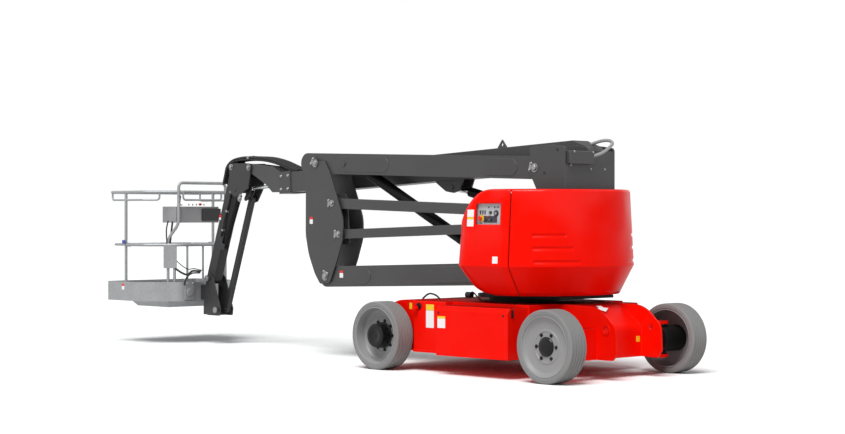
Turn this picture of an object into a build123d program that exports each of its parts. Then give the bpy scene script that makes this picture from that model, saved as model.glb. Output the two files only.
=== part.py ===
from build123d import *
from math import asin, atan2, cos, degrees, hypot, radians, sin
import os

# Electric articulating boom lift, stowed, in millimetres.
# +X is the front of the chassis (the steered wheels), +Y its left side, +Z up, z = 0 the ground.
# The model is worked out from the slewing axis and moved by SLEW_X when it is written, so that the
# origin lies on the ground under the middle of the machine's overall length.
SLEW_X = 2217.5

# ---- running gear -------------------------------------------------------------------------------
WHEELBASE = 2000.0
OVERALL_WIDTH = 1750.0
TYRE_RADIUS = 300.0
TYRE_WIDTH = 190.0
RIM_RADIUS = 252.0
RIM_WALL = 10.0
DISC_THICKNESS = 12.0
GROOVES = 5
GROOVE_DEPTH = 5.0
# name: disc recess, hub radius, hub end below the tyre's face, nuts, nut circle radius
RIMS = {"front": (35.0, 80.0, 12.0, 6, 107.0), "rear": (103.0, 104.0, 0.0, 9, 128.0)}
KINGPIN_Y = 620.0
KINGPIN_RADIUS = 18.0
DRUM_RADIUS = 112.0
STEER_ARM = 140.0
RUN_GAP = 6.0
BOND_GAP = 0.3

# ---- chassis ------------------------------------------------------------------------------------
DECK_Z = 612.0
BELLY_Z = 170.0
HULL_HALF = 600.0
HULL_FRONT = 590.0
HULL_REAR = -300.0
REAR_HALF = 640.0
REAR_END = -1255.0
NOSE_HALF = 300.0
NOSE_PANEL = 1060.0
NOSE_END = 1275.0
CHEEK = 20.0
BOX_X = (-262.0, 575.0)
BOX_Y = (600.3, 842.0)
BOX_Z = (166.0, 588.0)
BOX_CHAMFER = 38.0
BEAM_X = (940.0, 1060.0)
BEAM_Z = (170.0, 430.0)
YOKE_Y = 495.0
YOKE_Z = (172.0, 428.0)
ROD_Z = 214.0
CHANNEL_TOP = 330.0
LASH_HOLE = 22.0

# ---- turret -------------------------------------------------------------------------------------
RING_RADIUS = 330.0
RING_Z = (612.3, 650.0)
TABLE_Z = (650.3, 676.0)
TABLE_RADIUS = 420.0
COVER_HALF = 780.0
COVER_TAIL = 960.0
COVER_ARC_X = 450.0
COVER_NOSE = -170.0
COVER_Z = (684.0, 930.0, 1575.0)
COVER_UNDERCUT = 130.0
COVER_LEAN = 34.0
COVER_WALL = 12.0
COVER_CORNER = 200.0
COVER_NOSE_ROUND = 290.0
SEAM_X = 500.0
SEAM_GAP = 6.0
SLOT_HALF = 352.0
SLOT_END = 790.0
UPRIGHT_Y = 325.0
PLATE = 15.0
UPRIGHT = 20.0
HINGE_Z = 1554.5
HINGE_Y = 361.0
PANEL_X = (156.0, 424.0)
PANEL_Z = (1274.0, 1460.0)

# ---- boom tower: pin centres (x, z) in the stowed machine -----------------------------------------
ARM_LENGTH = 2850.0
ARM_TILT = 1.92
ARM_DEPTH = 195.0
ROD_DEPTH = (96.0, 86.0)
ARM_WALL = 8.0
PIN_E = (-2320.0, 773.0)
PIN_D = (-2131.0, 1178.0)
PIN_B = (-2457.0, 1853.0)
PIN_C = (-2222.0, 1470.0)
ARM_TAIL = 141.0
PIN_RADIUS = 25.0
ROD_PIN_RADIUS = 20.0
# lanes across the machine (y)
NEAR_PLATE = (-305.0, -290.0)
FAR_PLATE = (-50.0, -35.0)
ARM_Y = (-284.0, -56.0)
ROD_Y = (-275.0, -215.0)
LIFT_Y = -125.0
LIFT_FOOT = 1940.0
BASE_PIN = 20.0
ARM_SLOT = (105.0, 760.0)
HEAD_NEAR = (-318.0, -303.0)
HEAD_MID = (-28.0, -13.0)
HEAD_FAR = (303.0, 318.0)
RISE_MAX = 68.0

# ---- telescopic boom and jib ----------------------------------------------------------------------
BOOM_Y = 140.0
BOOM_PIVOT = (652.0, 1880.0)
BOOM_SLOPE = 2.79
BOOM_DEPTH = (245.0, 200.0)
BOOM_WIDTH = 200.0
BOOM_WALL = 8.0
BOOM_NOSE = -3410.0
BOOM_REAR = 512.0
BOOM_STEP = (-2950.0, -3050.0)
EXT_REAR = -620.0
EXT_NOSE = -3560.0
LIFT_HOLE = 14.0
EXT_DEPTH = 166.0
EXT_WIDTH = 150.0
PIN_J = (-3904.0, 1848.0)
PIN_J1 = (-4193.0, 1857.0)
PIN_J2 = (-4049.0, 1528.0)
JIB_LENGTH = 1235.0
JIB_LEAN = 19.8
JIB_DEPTH = 120.0
JIB_WIDTH = 110.0
LINK_SIZE = 50.0
LINK_Y = (174.0, 224.0)

# ---- basket ---------------------------------------------------------------------------------------
BASKET_OUT = -5712.0
BASKET_IN = -4792.0
BASKET_HALF = 600.0
BASKET_CORNER = 300.0
FLOOR_Z = 450.0
TRAY_Z = 386.0
TOE_TOP = 652.0
MID_RAIL_Z = 1045.0
TOP_RAIL_Z = 1604.0
HOOP_Z = 1700.0
RAIL_RADIUS = 16.0
SHEET = 4.0
ROTATOR_X = -4700.0
POST_X = -5394.0
GATE_HALF = 536.0
HOOP_X = BASKET_IN - 32.0


# ---- forms ----------------------------------------------------------------------------------------
def block(x, y, z):
    """Box from its three (low, high) spans."""
    size = [abs(b - a) for a, b in (x, y, z)]
    return Pos(*[(a + b) / 2 for a, b in (x, y, z)]) * Box(*size)


def slab(outline, y):
    """Side-view outline of (x, z) corners, straight between them, carried across from y[0] to y[1]."""
    face = make_face(Polyline(*[(px, 0, pz) for px, pz in outline], close=True))
    return Pos(0, y[0], 0) * extrude(face, amount=y[1] - y[0], dir=(0, 1, 0))


def round_slab(outline, radii, y):
    """Like slab, with each corner rounded by its own radius."""
    path = FilletPolyline(*[(px, 0, pz) for px, pz in outline], radius=radii, close=True)
    return Pos(0, y[0], 0) * extrude(make_face(path), amount=y[1] - y[0], dir=(0, 1, 0))


def across(point, radius, y):
    """Pin or boss lying across the machine at (x, z), from y[0] to y[1]."""
    place = Location((point[0], (y[0] + y[1]) / 2, point[1]), (90, 0, 0))
    return place * Cylinder(radius, abs(y[1] - y[0]))


def upright(x, y, radius, z):
    """Vertical cylinder from z[0] to z[1]."""
    return Pos(x, y, (z[0] + z[1]) / 2) * Cylinder(radius, z[1] - z[0])


def run(start, end, radius):
    """Round bar between two points in space."""
    a, b = Vector(*start), Vector(*end)
    place = Plane(origin=(a + b) * 0.5, z_dir=b - a).location
    return place * Cylinder(radius, (b - a).length)


def heading(a, b):
    """Angle of the line from a to b in side view, in degrees above +X."""
    return degrees(atan2(b[1] - a[1], b[0] - a[0]))


def along(a, angle, distance, lift=0.0):
    """Point at a distance from a along an angle, then square to it by lift."""
    t = radians(angle)
    return (a[0] + distance * cos(t) - lift * sin(t), a[1] + distance * sin(t) + lift * cos(t))


def bar(a, b, y, depth, before=0.0, after=0.0):
    """Solid square bar centred on the side-view line a to b, lengthened at both ends."""
    angle = heading(a, b)
    p, q = along(a, angle, -before), along(b, angle, after)
    length = hypot(q[0] - p[0], q[1] - p[1])
    place = Location(((p[0] + q[0]) / 2, (y[0] + y[1]) / 2, (p[1] + q[1]) / 2), (0, -angle, 0))
    return place * Box(length, y[1] - y[0], depth)


def tube(a, b, y, depth, wall, before=0.0, after=0.0):
    """Square tube, open at both ends, centred on the side-view line a to b."""
    inner = (y[0] + wall, y[1] - wall)
    hole = bar(a, b, inner, depth - 2 * wall, before + 1, after + 1)
    return bar(a, b, y, depth, before, after) - hole


def spin(profile, x, side, z):
    """Wheel form: (width from the outer face, radius) corners turned about the axle line."""
    outer = OVERALL_WIDTH / 2
    face = make_face(Polyline(*[(r, side * (outer - w)) for w, r in profile], close=True))
    return Pos(x, 0, z) * revolve(face, axis=Axis.Y)


# ---- wheels ---------------------------------------------------------------------------------------
def tyre(x, side):
    """Solid tyre: a thick ring with rounded shoulders and round-the-wheel grooves."""
    tread = [(0.0, TYRE_RADIUS - 12), (9.0, TYRE_RADIUS)]
    pitch = TYRE_WIDTH / (GROOVES + 1)
    for n in range(1, GROOVES + 1):
        w = pitch * n
        tread += [(w - 4, TYRE_RADIUS), (w - 2, TYRE_RADIUS - GROOVE_DEPTH)]
        tread += [(w + 2, TYRE_RADIUS - GROOVE_DEPTH), (w + 4, TYRE_RADIUS)]
    tread += [(TYRE_WIDTH - 9, TYRE_RADIUS), (TYRE_WIDTH, TYRE_RADIUS - 12)]
    seat = RIM_RADIUS + BOND_GAP
    return spin([(0.0, seat)] + tread + [(TYRE_WIDTH, seat)], x, side, TYRE_RADIUS)


def rim(x, side, kind):
    """Pressed rim: barrel, dished disc and hub in one turned form, with a ring of nuts."""
    recess, hub, hub_end, nuts, circle = RIMS[kind]
    inner = RIM_RADIUS - RIM_WALL
    back = recess + DISC_THICKNESS
    profile = [(0, RIM_RADIUS), (TYRE_WIDTH, RIM_RADIUS), (TYRE_WIDTH, inner), (back, inner), (back, 0)]
    profile += [(hub_end, 0), (hub_end, hub - 8), (hub_end + 8, hub), (recess, hub), (recess, inner), (0, inner)]
    wheel = spin(profile, x, side, TYRE_RADIUS)
    outer = OVERALL_WIDTH / 2
    for n in range(nuts):
        t = radians(360.0 * n / nuts)
        centre = (x + circle * cos(t), TYRE_RADIUS + circle * sin(t))
        wheel += across(centre, 12.0, (side * (outer - recess - 1), side * (outer - recess + 20)))
    return wheel


# ---- chassis --------------------------------------------------------------------------------------
def cheek_outline(front, top, run_in, drop):
    """Quarter-round end of a cheek plate, drawn as three straight faces to be rounded."""
    return [(front - run_in, BELLY_Z), (front, BELLY_Z), (front, top - drop), (front - run_in * 0.35, top), (front - run_in, top)]


def chassis_frame():
    """Welded hull: wide middle, narrow nose between the steered wheels, round tail at the drive wheels."""
    mid = block((HULL_REAR, HULL_FRONT), (-HULL_HALF, HULL_HALF), (BELLY_Z, DECK_Z))
    tail_line = [(HULL_REAR, BELLY_Z), (REAR_END + 40, BELLY_Z), (REAR_END, BELLY_Z + 80), (REAR_END, 420), (-960, DECK_Z), (HULL_REAR, DECK_Z)]
    tail = round_slab(tail_line, [1, 20, 20, 150, 300, 1], (-REAR_HALF, REAR_HALF))
    nose_line = [(HULL_FRONT - 1, BELLY_Z), (NOSE_PANEL, BELLY_Z), (NOSE_PANEL, 430), (820, DECK_Z), (HULL_FRONT - 1, DECK_Z)]
    nose = round_slab(nose_line, [1, 6, 90, 200, 1], (-NOSE_HALF, NOSE_HALF))
    hull = mid + tail + nose
    cheek_line = [(HULL_FRONT - 1, BELLY_Z), (NOSE_END - 40, BELLY_Z), (NOSE_END, BELLY_Z + 60), (NOSE_END - 10, 440), (1080, DECK_Z - 8), (HULL_FRONT - 1, DECK_Z + 2)]
    for side in (-1, 1):
        y = sorted((side * NOSE_HALF, side * (NOSE_HALF - CHEEK)))
        cheek = round_slab(cheek_line, [1, 20, 40, 120, 280, 1], y)
        hull += cheek - across((1165, 420), LASH_HOLE, (y[0] - 1, y[1] + 1))
    hull -= block((800, 905), (-NOSE_HALF - 1, NOSE_HALF + 1), (BELLY_Z - 1, CHANNEL_TOP))
    return hull


def battery_box(side):
    """Side locker hung on the hull between the wheels, its outer top edge bevelled."""
    y0, y1 = BOX_Y
    line = [(y0, BOX_Z[0]), (y1, BOX_Z[0]), (y1, BOX_Z[1] - BOX_CHAMFER), (y1 - 26, BOX_Z[1]), (y0, BOX_Z[1])]
    face = make_face(Polyline(*[(BOX_X[0], side * py, pz) for py, pz in line], close=True))
    return extrude(face, amount=BOX_X[1] - BOX_X[0], dir=(1, 0, 0))


def front_axle():
    """Box beam through the nose with a C-shaped yoke at each end that holds the kingpins."""
    beam = None
    for side in (-1, 1):
        arm = block(BEAM_X, sorted((side * (NOSE_HALF + BOND_GAP), side * YOKE_Y)), BEAM_Z)
        arm += block(BEAM_X, sorted((side * (YOKE_Y - 15), side * YOKE_Y)), (YOKE_Z[0] - 26, YOKE_Z[1] + 26))
        for z, cap in ((YOKE_Z[0] - 26, -8), (YOKE_Z[1], 26)):
            leaf = block(BEAM_X, sorted((side * (YOKE_Y - 15), side * KINGPIN_Y)), (z, z + 26))
            leaf += upright(1000.0, side * KINGPIN_Y, 60.0, (z, z + 26))
            leaf += upright(1000.0, side * KINGPIN_Y, 30.0, sorted((z + cap, z + 13)))
            arm += leaf
        beam = arm if beam is None else beam + arm
    return beam


def steer_knuckle(side):
    """Hub drum that carries a steered wheel, turning on the kingpin between the yoke's leaves."""
    post = upright(1000.0, side * KINGPIN_Y, 42.0, (YOKE_Z[0] + BOND_GAP, YOKE_Z[1] - BOND_GAP))
    inner = side * (KINGPIN_Y - 60.0)
    outer = side * (OVERALL_WIDTH / 2 - RIMS["front"][0] - DISC_THICKNESS - BOND_GAP)
    drum = across((1000.0, TYRE_RADIUS), DRUM_RADIUS, sorted((inner, outer)))
    y = sorted((side * (KINGPIN_Y - 25), side * (KINGPIN_Y + 5)))
    arm = block((1000.0 - STEER_ARM, 1000.0), y, (ROD_Z + 16.3, ROD_Z + 38))
    arm += upright(1000.0 - STEER_ARM, side * (KINGPIN_Y - 10), 24.0, (ROD_Z + 16.3, ROD_Z + 38))
    return post + drum + arm


def tie_rod():
    """Cross rod that ties the steering arms and is the rod of the steering cylinder."""
    x, y = 1000.0 - STEER_ARM, KINGPIN_Y - 10
    rod = run((x, -y, ROD_Z), (x, y, ROD_Z), 13.0)
    for side in (-1, 1):
        rod += upright(x, side * y, 24.0, (ROD_Z - 16, ROD_Z + 16))
    return rod


def steer_cylinder():
    """Fixed barrel of the steering cylinder, with its two brackets under the nose."""
    x = 1000.0 - STEER_ARM
    barrel = run((x, -190, ROD_Z), (x, 190, ROD_Z), 34.0)
    for y in (-150, 150):
        barrel += block((x - 22, x + 22), (y - 12, y + 12), (ROD_Z, CHANNEL_TOP))
    return barrel - run((x, -191, ROD_Z), (x, 191, ROD_Z), 13.0 + BOND_GAP)


def rear_axle():
    """Drive unit on each side: motor and gearbox between the hull and the wheel disc."""
    units = None
    for side in (-1, 1):
        disc = OVERALL_WIDTH / 2 - RIMS["rear"][0] - DISC_THICKNESS - BOND_GAP
        unit = across((-1000.0, TYRE_RADIUS), 130.0, sorted((side * (REAR_HALF + BOND_GAP), side * (REAR_HALF + 40))))
        unit += across((-1000.0, TYRE_RADIUS), 105.0, sorted((side * (REAR_HALF + 39), side * disc)))
        units = unit if units is None else units + unit
    return units


# ---- turret ---------------------------------------------------------------------------------------
def cover_plan(inset):
    """Plan outline of the turret covers, drawn in by an inset: straight flanks, an arc for a tail."""
    half, tail, nose = COVER_HALF - inset, COVER_TAIL - inset, COVER_NOSE + inset
    corner = COVER_CORNER - min(inset, COVER_CORNER - 40)
    start, end = (COVER_ARC_X, -half), (COVER_ARC_X, half)
    edges = [
        ThreePointArc(start, (tail, 0), end),
        Line(end, (nose + corner, half)),
        ThreePointArc((nose + corner, half), (nose + corner * 0.2929, half - corner * 0.2929), (nose, half - corner)),
        Line((nose, half - corner), (nose, corner - half)),
        ThreePointArc((nose, corner - half), (nose + corner * 0.2929, corner * 0.2929 - half), (nose + corner, -half)),
        Line((nose + corner, -half), start),
    ]
    return make_face(Wire(edges))


def cover_form(inset):
    """The covers' outer form as one solid: undercut below the crease, leaning in a little above it."""
    low, crease, top = COVER_Z
    foot = Pos(0, 0, low) * cover_plan(COVER_UNDERCUT + inset)
    belt = Pos(0, 0, crease) * cover_plan(inset)
    roof = Pos(0, 0, top - inset) * cover_plan(COVER_LEAN + inset)
    form = loft([foot, belt], ruled=True) + loft([belt, roof], ruled=True)
    return form


def nose_profile(inset):
    """Side view of the covers: a D with a large round at the front top and bottom."""
    x0, x1 = COVER_NOSE - 5 + inset, COVER_TAIL + 50
    z0, z1 = COVER_Z[0] - 1, COVER_Z[2] + 1 - inset
    r = COVER_NOSE_ROUND - inset
    line = [(x0, z0), (x1, z0), (x1, z1), (x0, z1)]
    return round_slab(line, [r, 1, 1, r], (-COVER_HALF - 50, COVER_HALF + 50))


def cover_shell():
    """Both covers and the tail hood as one skin, before it is parted at the seams."""
    outer = cover_form(0.0) & nose_profile(0.0)
    inner = cover_form(COVER_WALL) & nose_profile(COVER_WALL)
    skin = outer - inner
    skin -= block((COVER_NOSE - 60, SLOT_END), (-SLOT_HALF, SLOT_HALF), (COVER_Z[0] - 5, COVER_Z[2] + 5))
    return skin


def side_cover(skin, side):
    """Lift-up side cover ahead of the seam, with the barrel of its hinge along the inner top edge."""
    y = sorted((side * (SLOT_HALF - 5), side * (COVER_HALF + 20)))
    cover = skin & block((COVER_NOSE - 20, SEAM_X - SEAM_GAP / 2), y, (COVER_Z[0] - 5, COVER_Z[2] + 5))
    if side < 0:
        cover -= block(PANEL_X, (-COVER_HALF - 30, -COVER_HALF + 80), PANEL_Z)
    barrel = Location((250, side * HINGE_Y, HINGE_Z), (0, 90, 0)) * Cylinder(9.0, 400.0)
    return cover + barrel


def tail_hood(skin):
    """Hood that wraps the tail from seam to seam, with three pressed ribs on each flank."""
    y = (-COVER_HALF - 20, COVER_HALF + 20)
    hood = skin & block((SEAM_X + SEAM_GAP / 2, COVER_TAIL + 20), y, (COVER_Z[0] - 5, COVER_Z[2] + 5))
    return hood


def counterweight():
    """Cast weight that fills the tail behind the boom slot and carries the hood."""
    form = cover_form(COVER_WALL + BOND_GAP) & block((SLOT_END + 5, COVER_TAIL), (-560, 560), (COVER_Z[0], 1380))
    return form


def turntable():
    """Slewing table: round plate on the ring with a tongue back to the weight."""
    table = upright(0, 0, TABLE_RADIUS, TABLE_Z)
    table += block((0, 700), (-UPRIGHT_Y - UPRIGHT, UPRIGHT_Y + UPRIGHT), TABLE_Z)
    return table


def turret_frame():
    """Upright side plates with the tower's lower pins, a cross plate at the weight, and hinge rests."""
    z0 = TABLE_Z[1] + BOND_GAP
    end = SLOT_END - 5
    side_line = [(-20, z0), (690, z0), (end, 900), (end, 1400), (640, 1540), (40, 1540), (-20, 1480)]
    frame = None
    for side in (-1, 1):
        y = sorted((side * UPRIGHT_Y, side * (UPRIGHT_Y + UPRIGHT)))
        leaf = round_slab(side_line, [5, 5, 60, 60, 60, 40, 40], y)
        frame = leaf if frame is None else frame + leaf
    mid_line = [(420, z0), (690, z0), (end, 900), (end, 1240), (752, 1312), (690, 1312), (420, 960)]
    frame += round_slab(mid_line, [5, 5, 60, 20, 20, 20, 60], FAR_PLATE)
    frame += block((end - 10, end + 10 - BOND_GAP), (-UPRIGHT_Y - UPRIGHT, UPRIGHT_Y + UPRIGHT), (900, 1180))
    for pin, radius in ((PIN_P1, PIN_RADIUS), (PIN_P2, ROD_PIN_RADIUS)):
        frame += across(pin, radius, (-UPRIGHT_Y - UPRIGHT - 6, FAR_PLATE[1] + 1))
    for side in (-1, 1):
        tongue = sorted((side * UPRIGHT_Y, side * (HINGE_Y + 9)))
        frame += block((60, 440), tongue, (1520, 1535))
        stand = sorted((side * (HINGE_Y - 5), side * (HINGE_Y + 5)))
        frame += block((60, 440), stand, (1534, HINGE_Z - 9 - BOND_GAP))
    return frame


def ground_controls():
    """Control box behind the opening in the right side cover."""
    return block((146, 434), (-712, -UPRIGHT_Y - UPRIGHT - BOND_GAP), (1264, 1470))


# ---- boom tower -----------------------------------------------------------------------------------
PIN_P1 = along(PIN_E, ARM_TILT, ARM_LENGTH)
PIN_P2 = (PIN_P1[0] + PIN_D[0] - PIN_E[0], PIN_P1[1] + PIN_D[1] - PIN_E[1])
PIN_T1 = along(PIN_B, -ARM_TILT, ARM_LENGTH)
PIN_T2 = (PIN_T1[0] + PIN_C[0] - PIN_B[0], PIN_T1[1] + PIN_C[1] - PIN_B[1])
PIN_U = along(PIN_B, -ARM_TILT, 387.0)
PIN_V = along(PIN_E, ARM_TILT, LIFT_FOOT, 165.0)


def eye_hole(pin, radius):
    """Bore that runs on a pin, cut right across the machine."""
    return across(pin, radius, (-400, 400))


def lower_arm():
    """Lower tower arm: square tube with round ends, and lugs on top for the tower cylinder."""
    arm = tube(PIN_E, PIN_P1, ARM_Y, ARM_DEPTH, ARM_WALL)
    for pin in (PIN_E, PIN_P1):
        arm += across(pin, ARM_DEPTH / 2, ARM_Y)
    for y in (LIFT_Y - 67, LIFT_Y + 53):
        foot = along(PIN_E, ARM_TILT, LIFT_FOOT, ARM_DEPTH / 2 - 4)
        line = [along(foot, ARM_TILT, -130), along(foot, ARM_TILT, 110), along(PIN_V, ARM_TILT, 50, 20), along(PIN_V, ARM_TILT, -10, 55), along(PIN_V, ARM_TILT, -55, 20)]
        arm += round_slab(line, [4, 4, 30, 25, 30], (y, y + 14))
    arm += across(PIN_V, BASE_PIN, (LIFT_Y - 73, LIFT_Y + 73))
    for pin in (PIN_E, PIN_P1):
        arm -= eye_hole(pin, PIN_RADIUS + BOND_GAP)
    return arm


def tower_rod(a, b, depth):
    """Parallel rod of the tower: slim tube with a round eye at each end."""
    rod = tube(a, b, ROD_Y, depth, 6.0, before=-50.0, after=-50.0)
    for pin in (a, b):
        rod += across(pin, depth / 2 + 6, ROD_Y)
        rod += bar(pin, along(pin, heading(a, b), 70.0 if pin == a else -70.0), ROD_Y, depth - 12)
        rod -= eye_hole(pin, ROD_PIN_RADIUS + BOND_GAP)
    return rod


def knuckle():
    """Upright link between the two halves of the tower: two half-moon plates, a back web and four pins."""
    line = [(-2603, 1168), (-2560, 985), (-2470, 800), (-2392, 702), (-2255, 716), (-2150, 930), (-2066, 1150), (-2070, 1330), (-2150, 1530), (-2256, 1765), (-2335, 1874), (-2575, 1868), (-2600, 1790)]
    radii = [500, 500, 300, 40, 60, 300, 300, 300, 300, 300, 50, 40, 200]
    link = None
    for y in (NEAR_PLATE, FAR_PLATE):
        leaf = round_slab(line, radii, y)
        link = leaf if link is None else link + leaf
    inner = (NEAR_PLATE[0] + 1, FAR_PLATE[1] - 1)
    link += block((-2592, -2577), inner, (1130, 1480))
    for pin in (PIN_B, PIN_E):
        link += across(pin, PIN_RADIUS, (NEAR_PLATE[0] - 14, FAR_PLATE[1] + 10))
    rod_web = (-206.0, -194.0)
    link += round_slab([(-2330, 1080), (-2080, 1080), (-2120, 1560), (-2330, 1560)], [30, 30, 40, 40], rod_web)
    link += block((-2592, -2320), (rod_web[0], rod_web[1]), (1200, 1440))
    for pin in (PIN_C, PIN_D):
        link += across(pin, ROD_PIN_RADIUS, (NEAR_PLATE[0] - 12, rod_web[1]))
    return link


def upper_arm():
    """Upper tower arm: square tube slotted below for the tower cylinder, its tail carried past the pin."""
    arm = tube(PIN_B, PIN_T1, ARM_Y, ARM_DEPTH, ARM_WALL, before=ARM_TAIL, after=0.0)
    tail = along(PIN_B, 180 - ARM_TILT, ARM_TAIL)
    arm += across(tail, ARM_DEPTH / 2, ARM_Y)
    arm += across(PIN_T1, ARM_DEPTH / 2, ARM_Y)
    arm += across(PIN_B, ARM_DEPTH / 2 - 2, ARM_Y)
    slot = [along(PIN_B, -ARM_TILT, d, -70.0) for d in ARM_SLOT]
    arm -= bar(slot[0], slot[1], (ARM_Y[0] + ARM_WALL + 90, ARM_Y[1] - ARM_WALL), 110.0)
    eye = 1.1 * CYLINDERS["tower_cylinder"][4] + 1.0
    arm += across(PIN_U, 22.0, (ARM_Y[0] - 12, LIFT_Y - eye))
    arm += across(PIN_U, 22.0, (LIFT_Y + eye, ARM_Y[1]))
    arm += across(tail, 24.0, (ARM_Y[0] - 3, ARM_Y[0] + 4))
    for pin in (PIN_B, PIN_T1):
        arm -= eye_hole(pin, PIN_RADIUS + BOND_GAP)
    return arm


def tower_head():
    """Head of the tower: near, middle and far plates joined by a back plate, with four pins."""
    line = [(340, 1934), (345, 1700), (413, 1575), (540, 1318), (737, 1318), (737, 1905), (728, 1928), (594, 1949)]
    radii = [10, 60, 60, 40, 20, 20, 20, 60]
    deep = [(340, 1934), (345, 1700), (400, 1560), (392, 1200), (737, 1200), (737, 1905), (728, 1928), (594, 1949)]
    head = round_slab(line, radii, HEAD_NEAR)
    for y in (HEAD_MID, HEAD_FAR):
        head += round_slab(deep, radii, y)
    head += block((722, 737), (HEAD_NEAR[0] + 1, HEAD_FAR[1] - 1), (1345, 1900))
    head += block((722, 737), (HEAD_MID[0] + 1, HEAD_FAR[1] - 1), (1210, 1350))
    head += across(PIN_T1, PIN_RADIUS, (HEAD_NEAR[0] - 12, HEAD_MID[1]))
    head += across(PIN_T2, ROD_PIN_RADIUS, (HEAD_NEAR[0] - 1, HEAD_MID[1]))
    head += across(BOOM_PIVOT, PIN_RADIUS, (HEAD_MID[0] - 1, HEAD_FAR[1] + 12))
    head += across(PIN_C0, PIN_RADIUS, (HEAD_MID[0] - 1, HEAD_FAR[1] + 1))
    return head


# ---- cylinders ------------------------------------------------------------------------------------
def barrel(a, b, y, radius, rod_radius, pin, length):
    """Cylinder barrel from its eye at a towards b, bored for the rod, its base closed."""
    angle = heading(a, b)
    eye = radius * 0.8
    p, q = along(a, angle, eye + 5), along(a, angle, length)
    body = run((p[0], y, p[1]), (q[0], y, q[1]), radius)
    body += across(a, eye, (y - eye, y + eye))
    body += bar(a, along(a, angle, eye + 20), (y - radius * 0.6, y + radius * 0.6), radius * 1.3)
    s, e = along(a, angle, eye + 30), along(a, angle, length + 1)
    body -= across(a, pin + BOND_GAP, (y - eye - 1, y + eye + 1))
    return body - run((s[0], y, s[1]), (e[0], y, e[1]), rod_radius + BOND_GAP)


def piston(a, b, y, rod_radius, length):
    """Cylinder rod with its eye at b, reaching back into the barrel by its length."""
    angle = heading(b, a)
    q, p = along(b, angle, rod_radius), along(b, angle, length)
    rod = run((p[0], y, p[1]), (q[0], y, q[1]), rod_radius)
    return rod + across(b, rod_radius * 1.35, (y - rod_radius * 1.1, y + rod_radius * 1.1))


# name: base pin, rod pin, y, barrel radius, rod radius, base pin radius, barrel length, rod length
def boom_point(x):
    """Point on the boom's centre line at x in the stowed machine."""
    return (x, BOOM_PIVOT[1] + (x - BOOM_PIVOT[0]) * sin(radians(BOOM_SLOPE)) / cos(radians(BOOM_SLOPE)))


PIN_C0 = (450.0, 1262.0)
PIN_G = (-980.0, 1608.0)
PIN_S = (-3973.0, 1637.0)
PIN_Q = (-3304.0, 1672.0)
JIB_ANGLE = 270.0 - JIB_LEAN
PIN_J3 = along(PIN_J1, JIB_ANGLE, JIB_LENGTH)
PIN_J4 = (PIN_J3[0] + PIN_J2[0] - PIN_J1[0], PIN_J3[1] + PIN_J2[1] - PIN_J1[1])
PIN_K = along(PIN_J1, 285.0, 250.0)
PIN_X = (-4030.0, 1600.0)
PIN_M = along(PIN_J1, JIB_ANGLE, 850.0, 92.0)
CYLINDERS = {
    "tower_cylinder": (PIN_V, PIN_U, LIFT_Y, 50.0, 32.0, BASE_PIN, 1700.0, 1760.0),
    "boom_cylinder": (PIN_C0, PIN_G, BOOM_Y, 45.0, 28.0, PIN_RADIUS, 1300.0, 1370.0),
    "level_cylinder": (PIN_Q, PIN_S, BOOM_Y, 30.0, 18.0, 16.0, 360.0, 350.0),
    "jib_cylinder": (PIN_M, PIN_K, BOOM_Y - 22.0, 25.0, 15.0, 12.0, 590.0, 540.0),
}


# ---- telescopic boom --------------------------------------------------------------------------------
def boom_box(y, x_rear, x_step, x_slim, x_front, depths):
    """Boom section in side view: deep at the rear, tapering to the slim front."""
    t = radians(BOOM_SLOPE)
    points = []
    for x, depth in ((x_rear, depths[0]), (x_step, depths[0]), (x_slim, depths[1]), (x_front, depths[1])):
        c = boom_point(x)
        points.append((c[0] - depth / 2 * sin(t), c[1] + depth / 2 * cos(t)))
    low = []
    for x, depth in ((x_front, depths[1]), (x_slim, depths[1]), (x_step, depths[0]), (x_rear, depths[0])):
        c = boom_point(x)
        low.append((c[0] + depth / 2 * sin(t), c[1] - depth / 2 * cos(t)))
    return slab(points + low, y)


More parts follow.
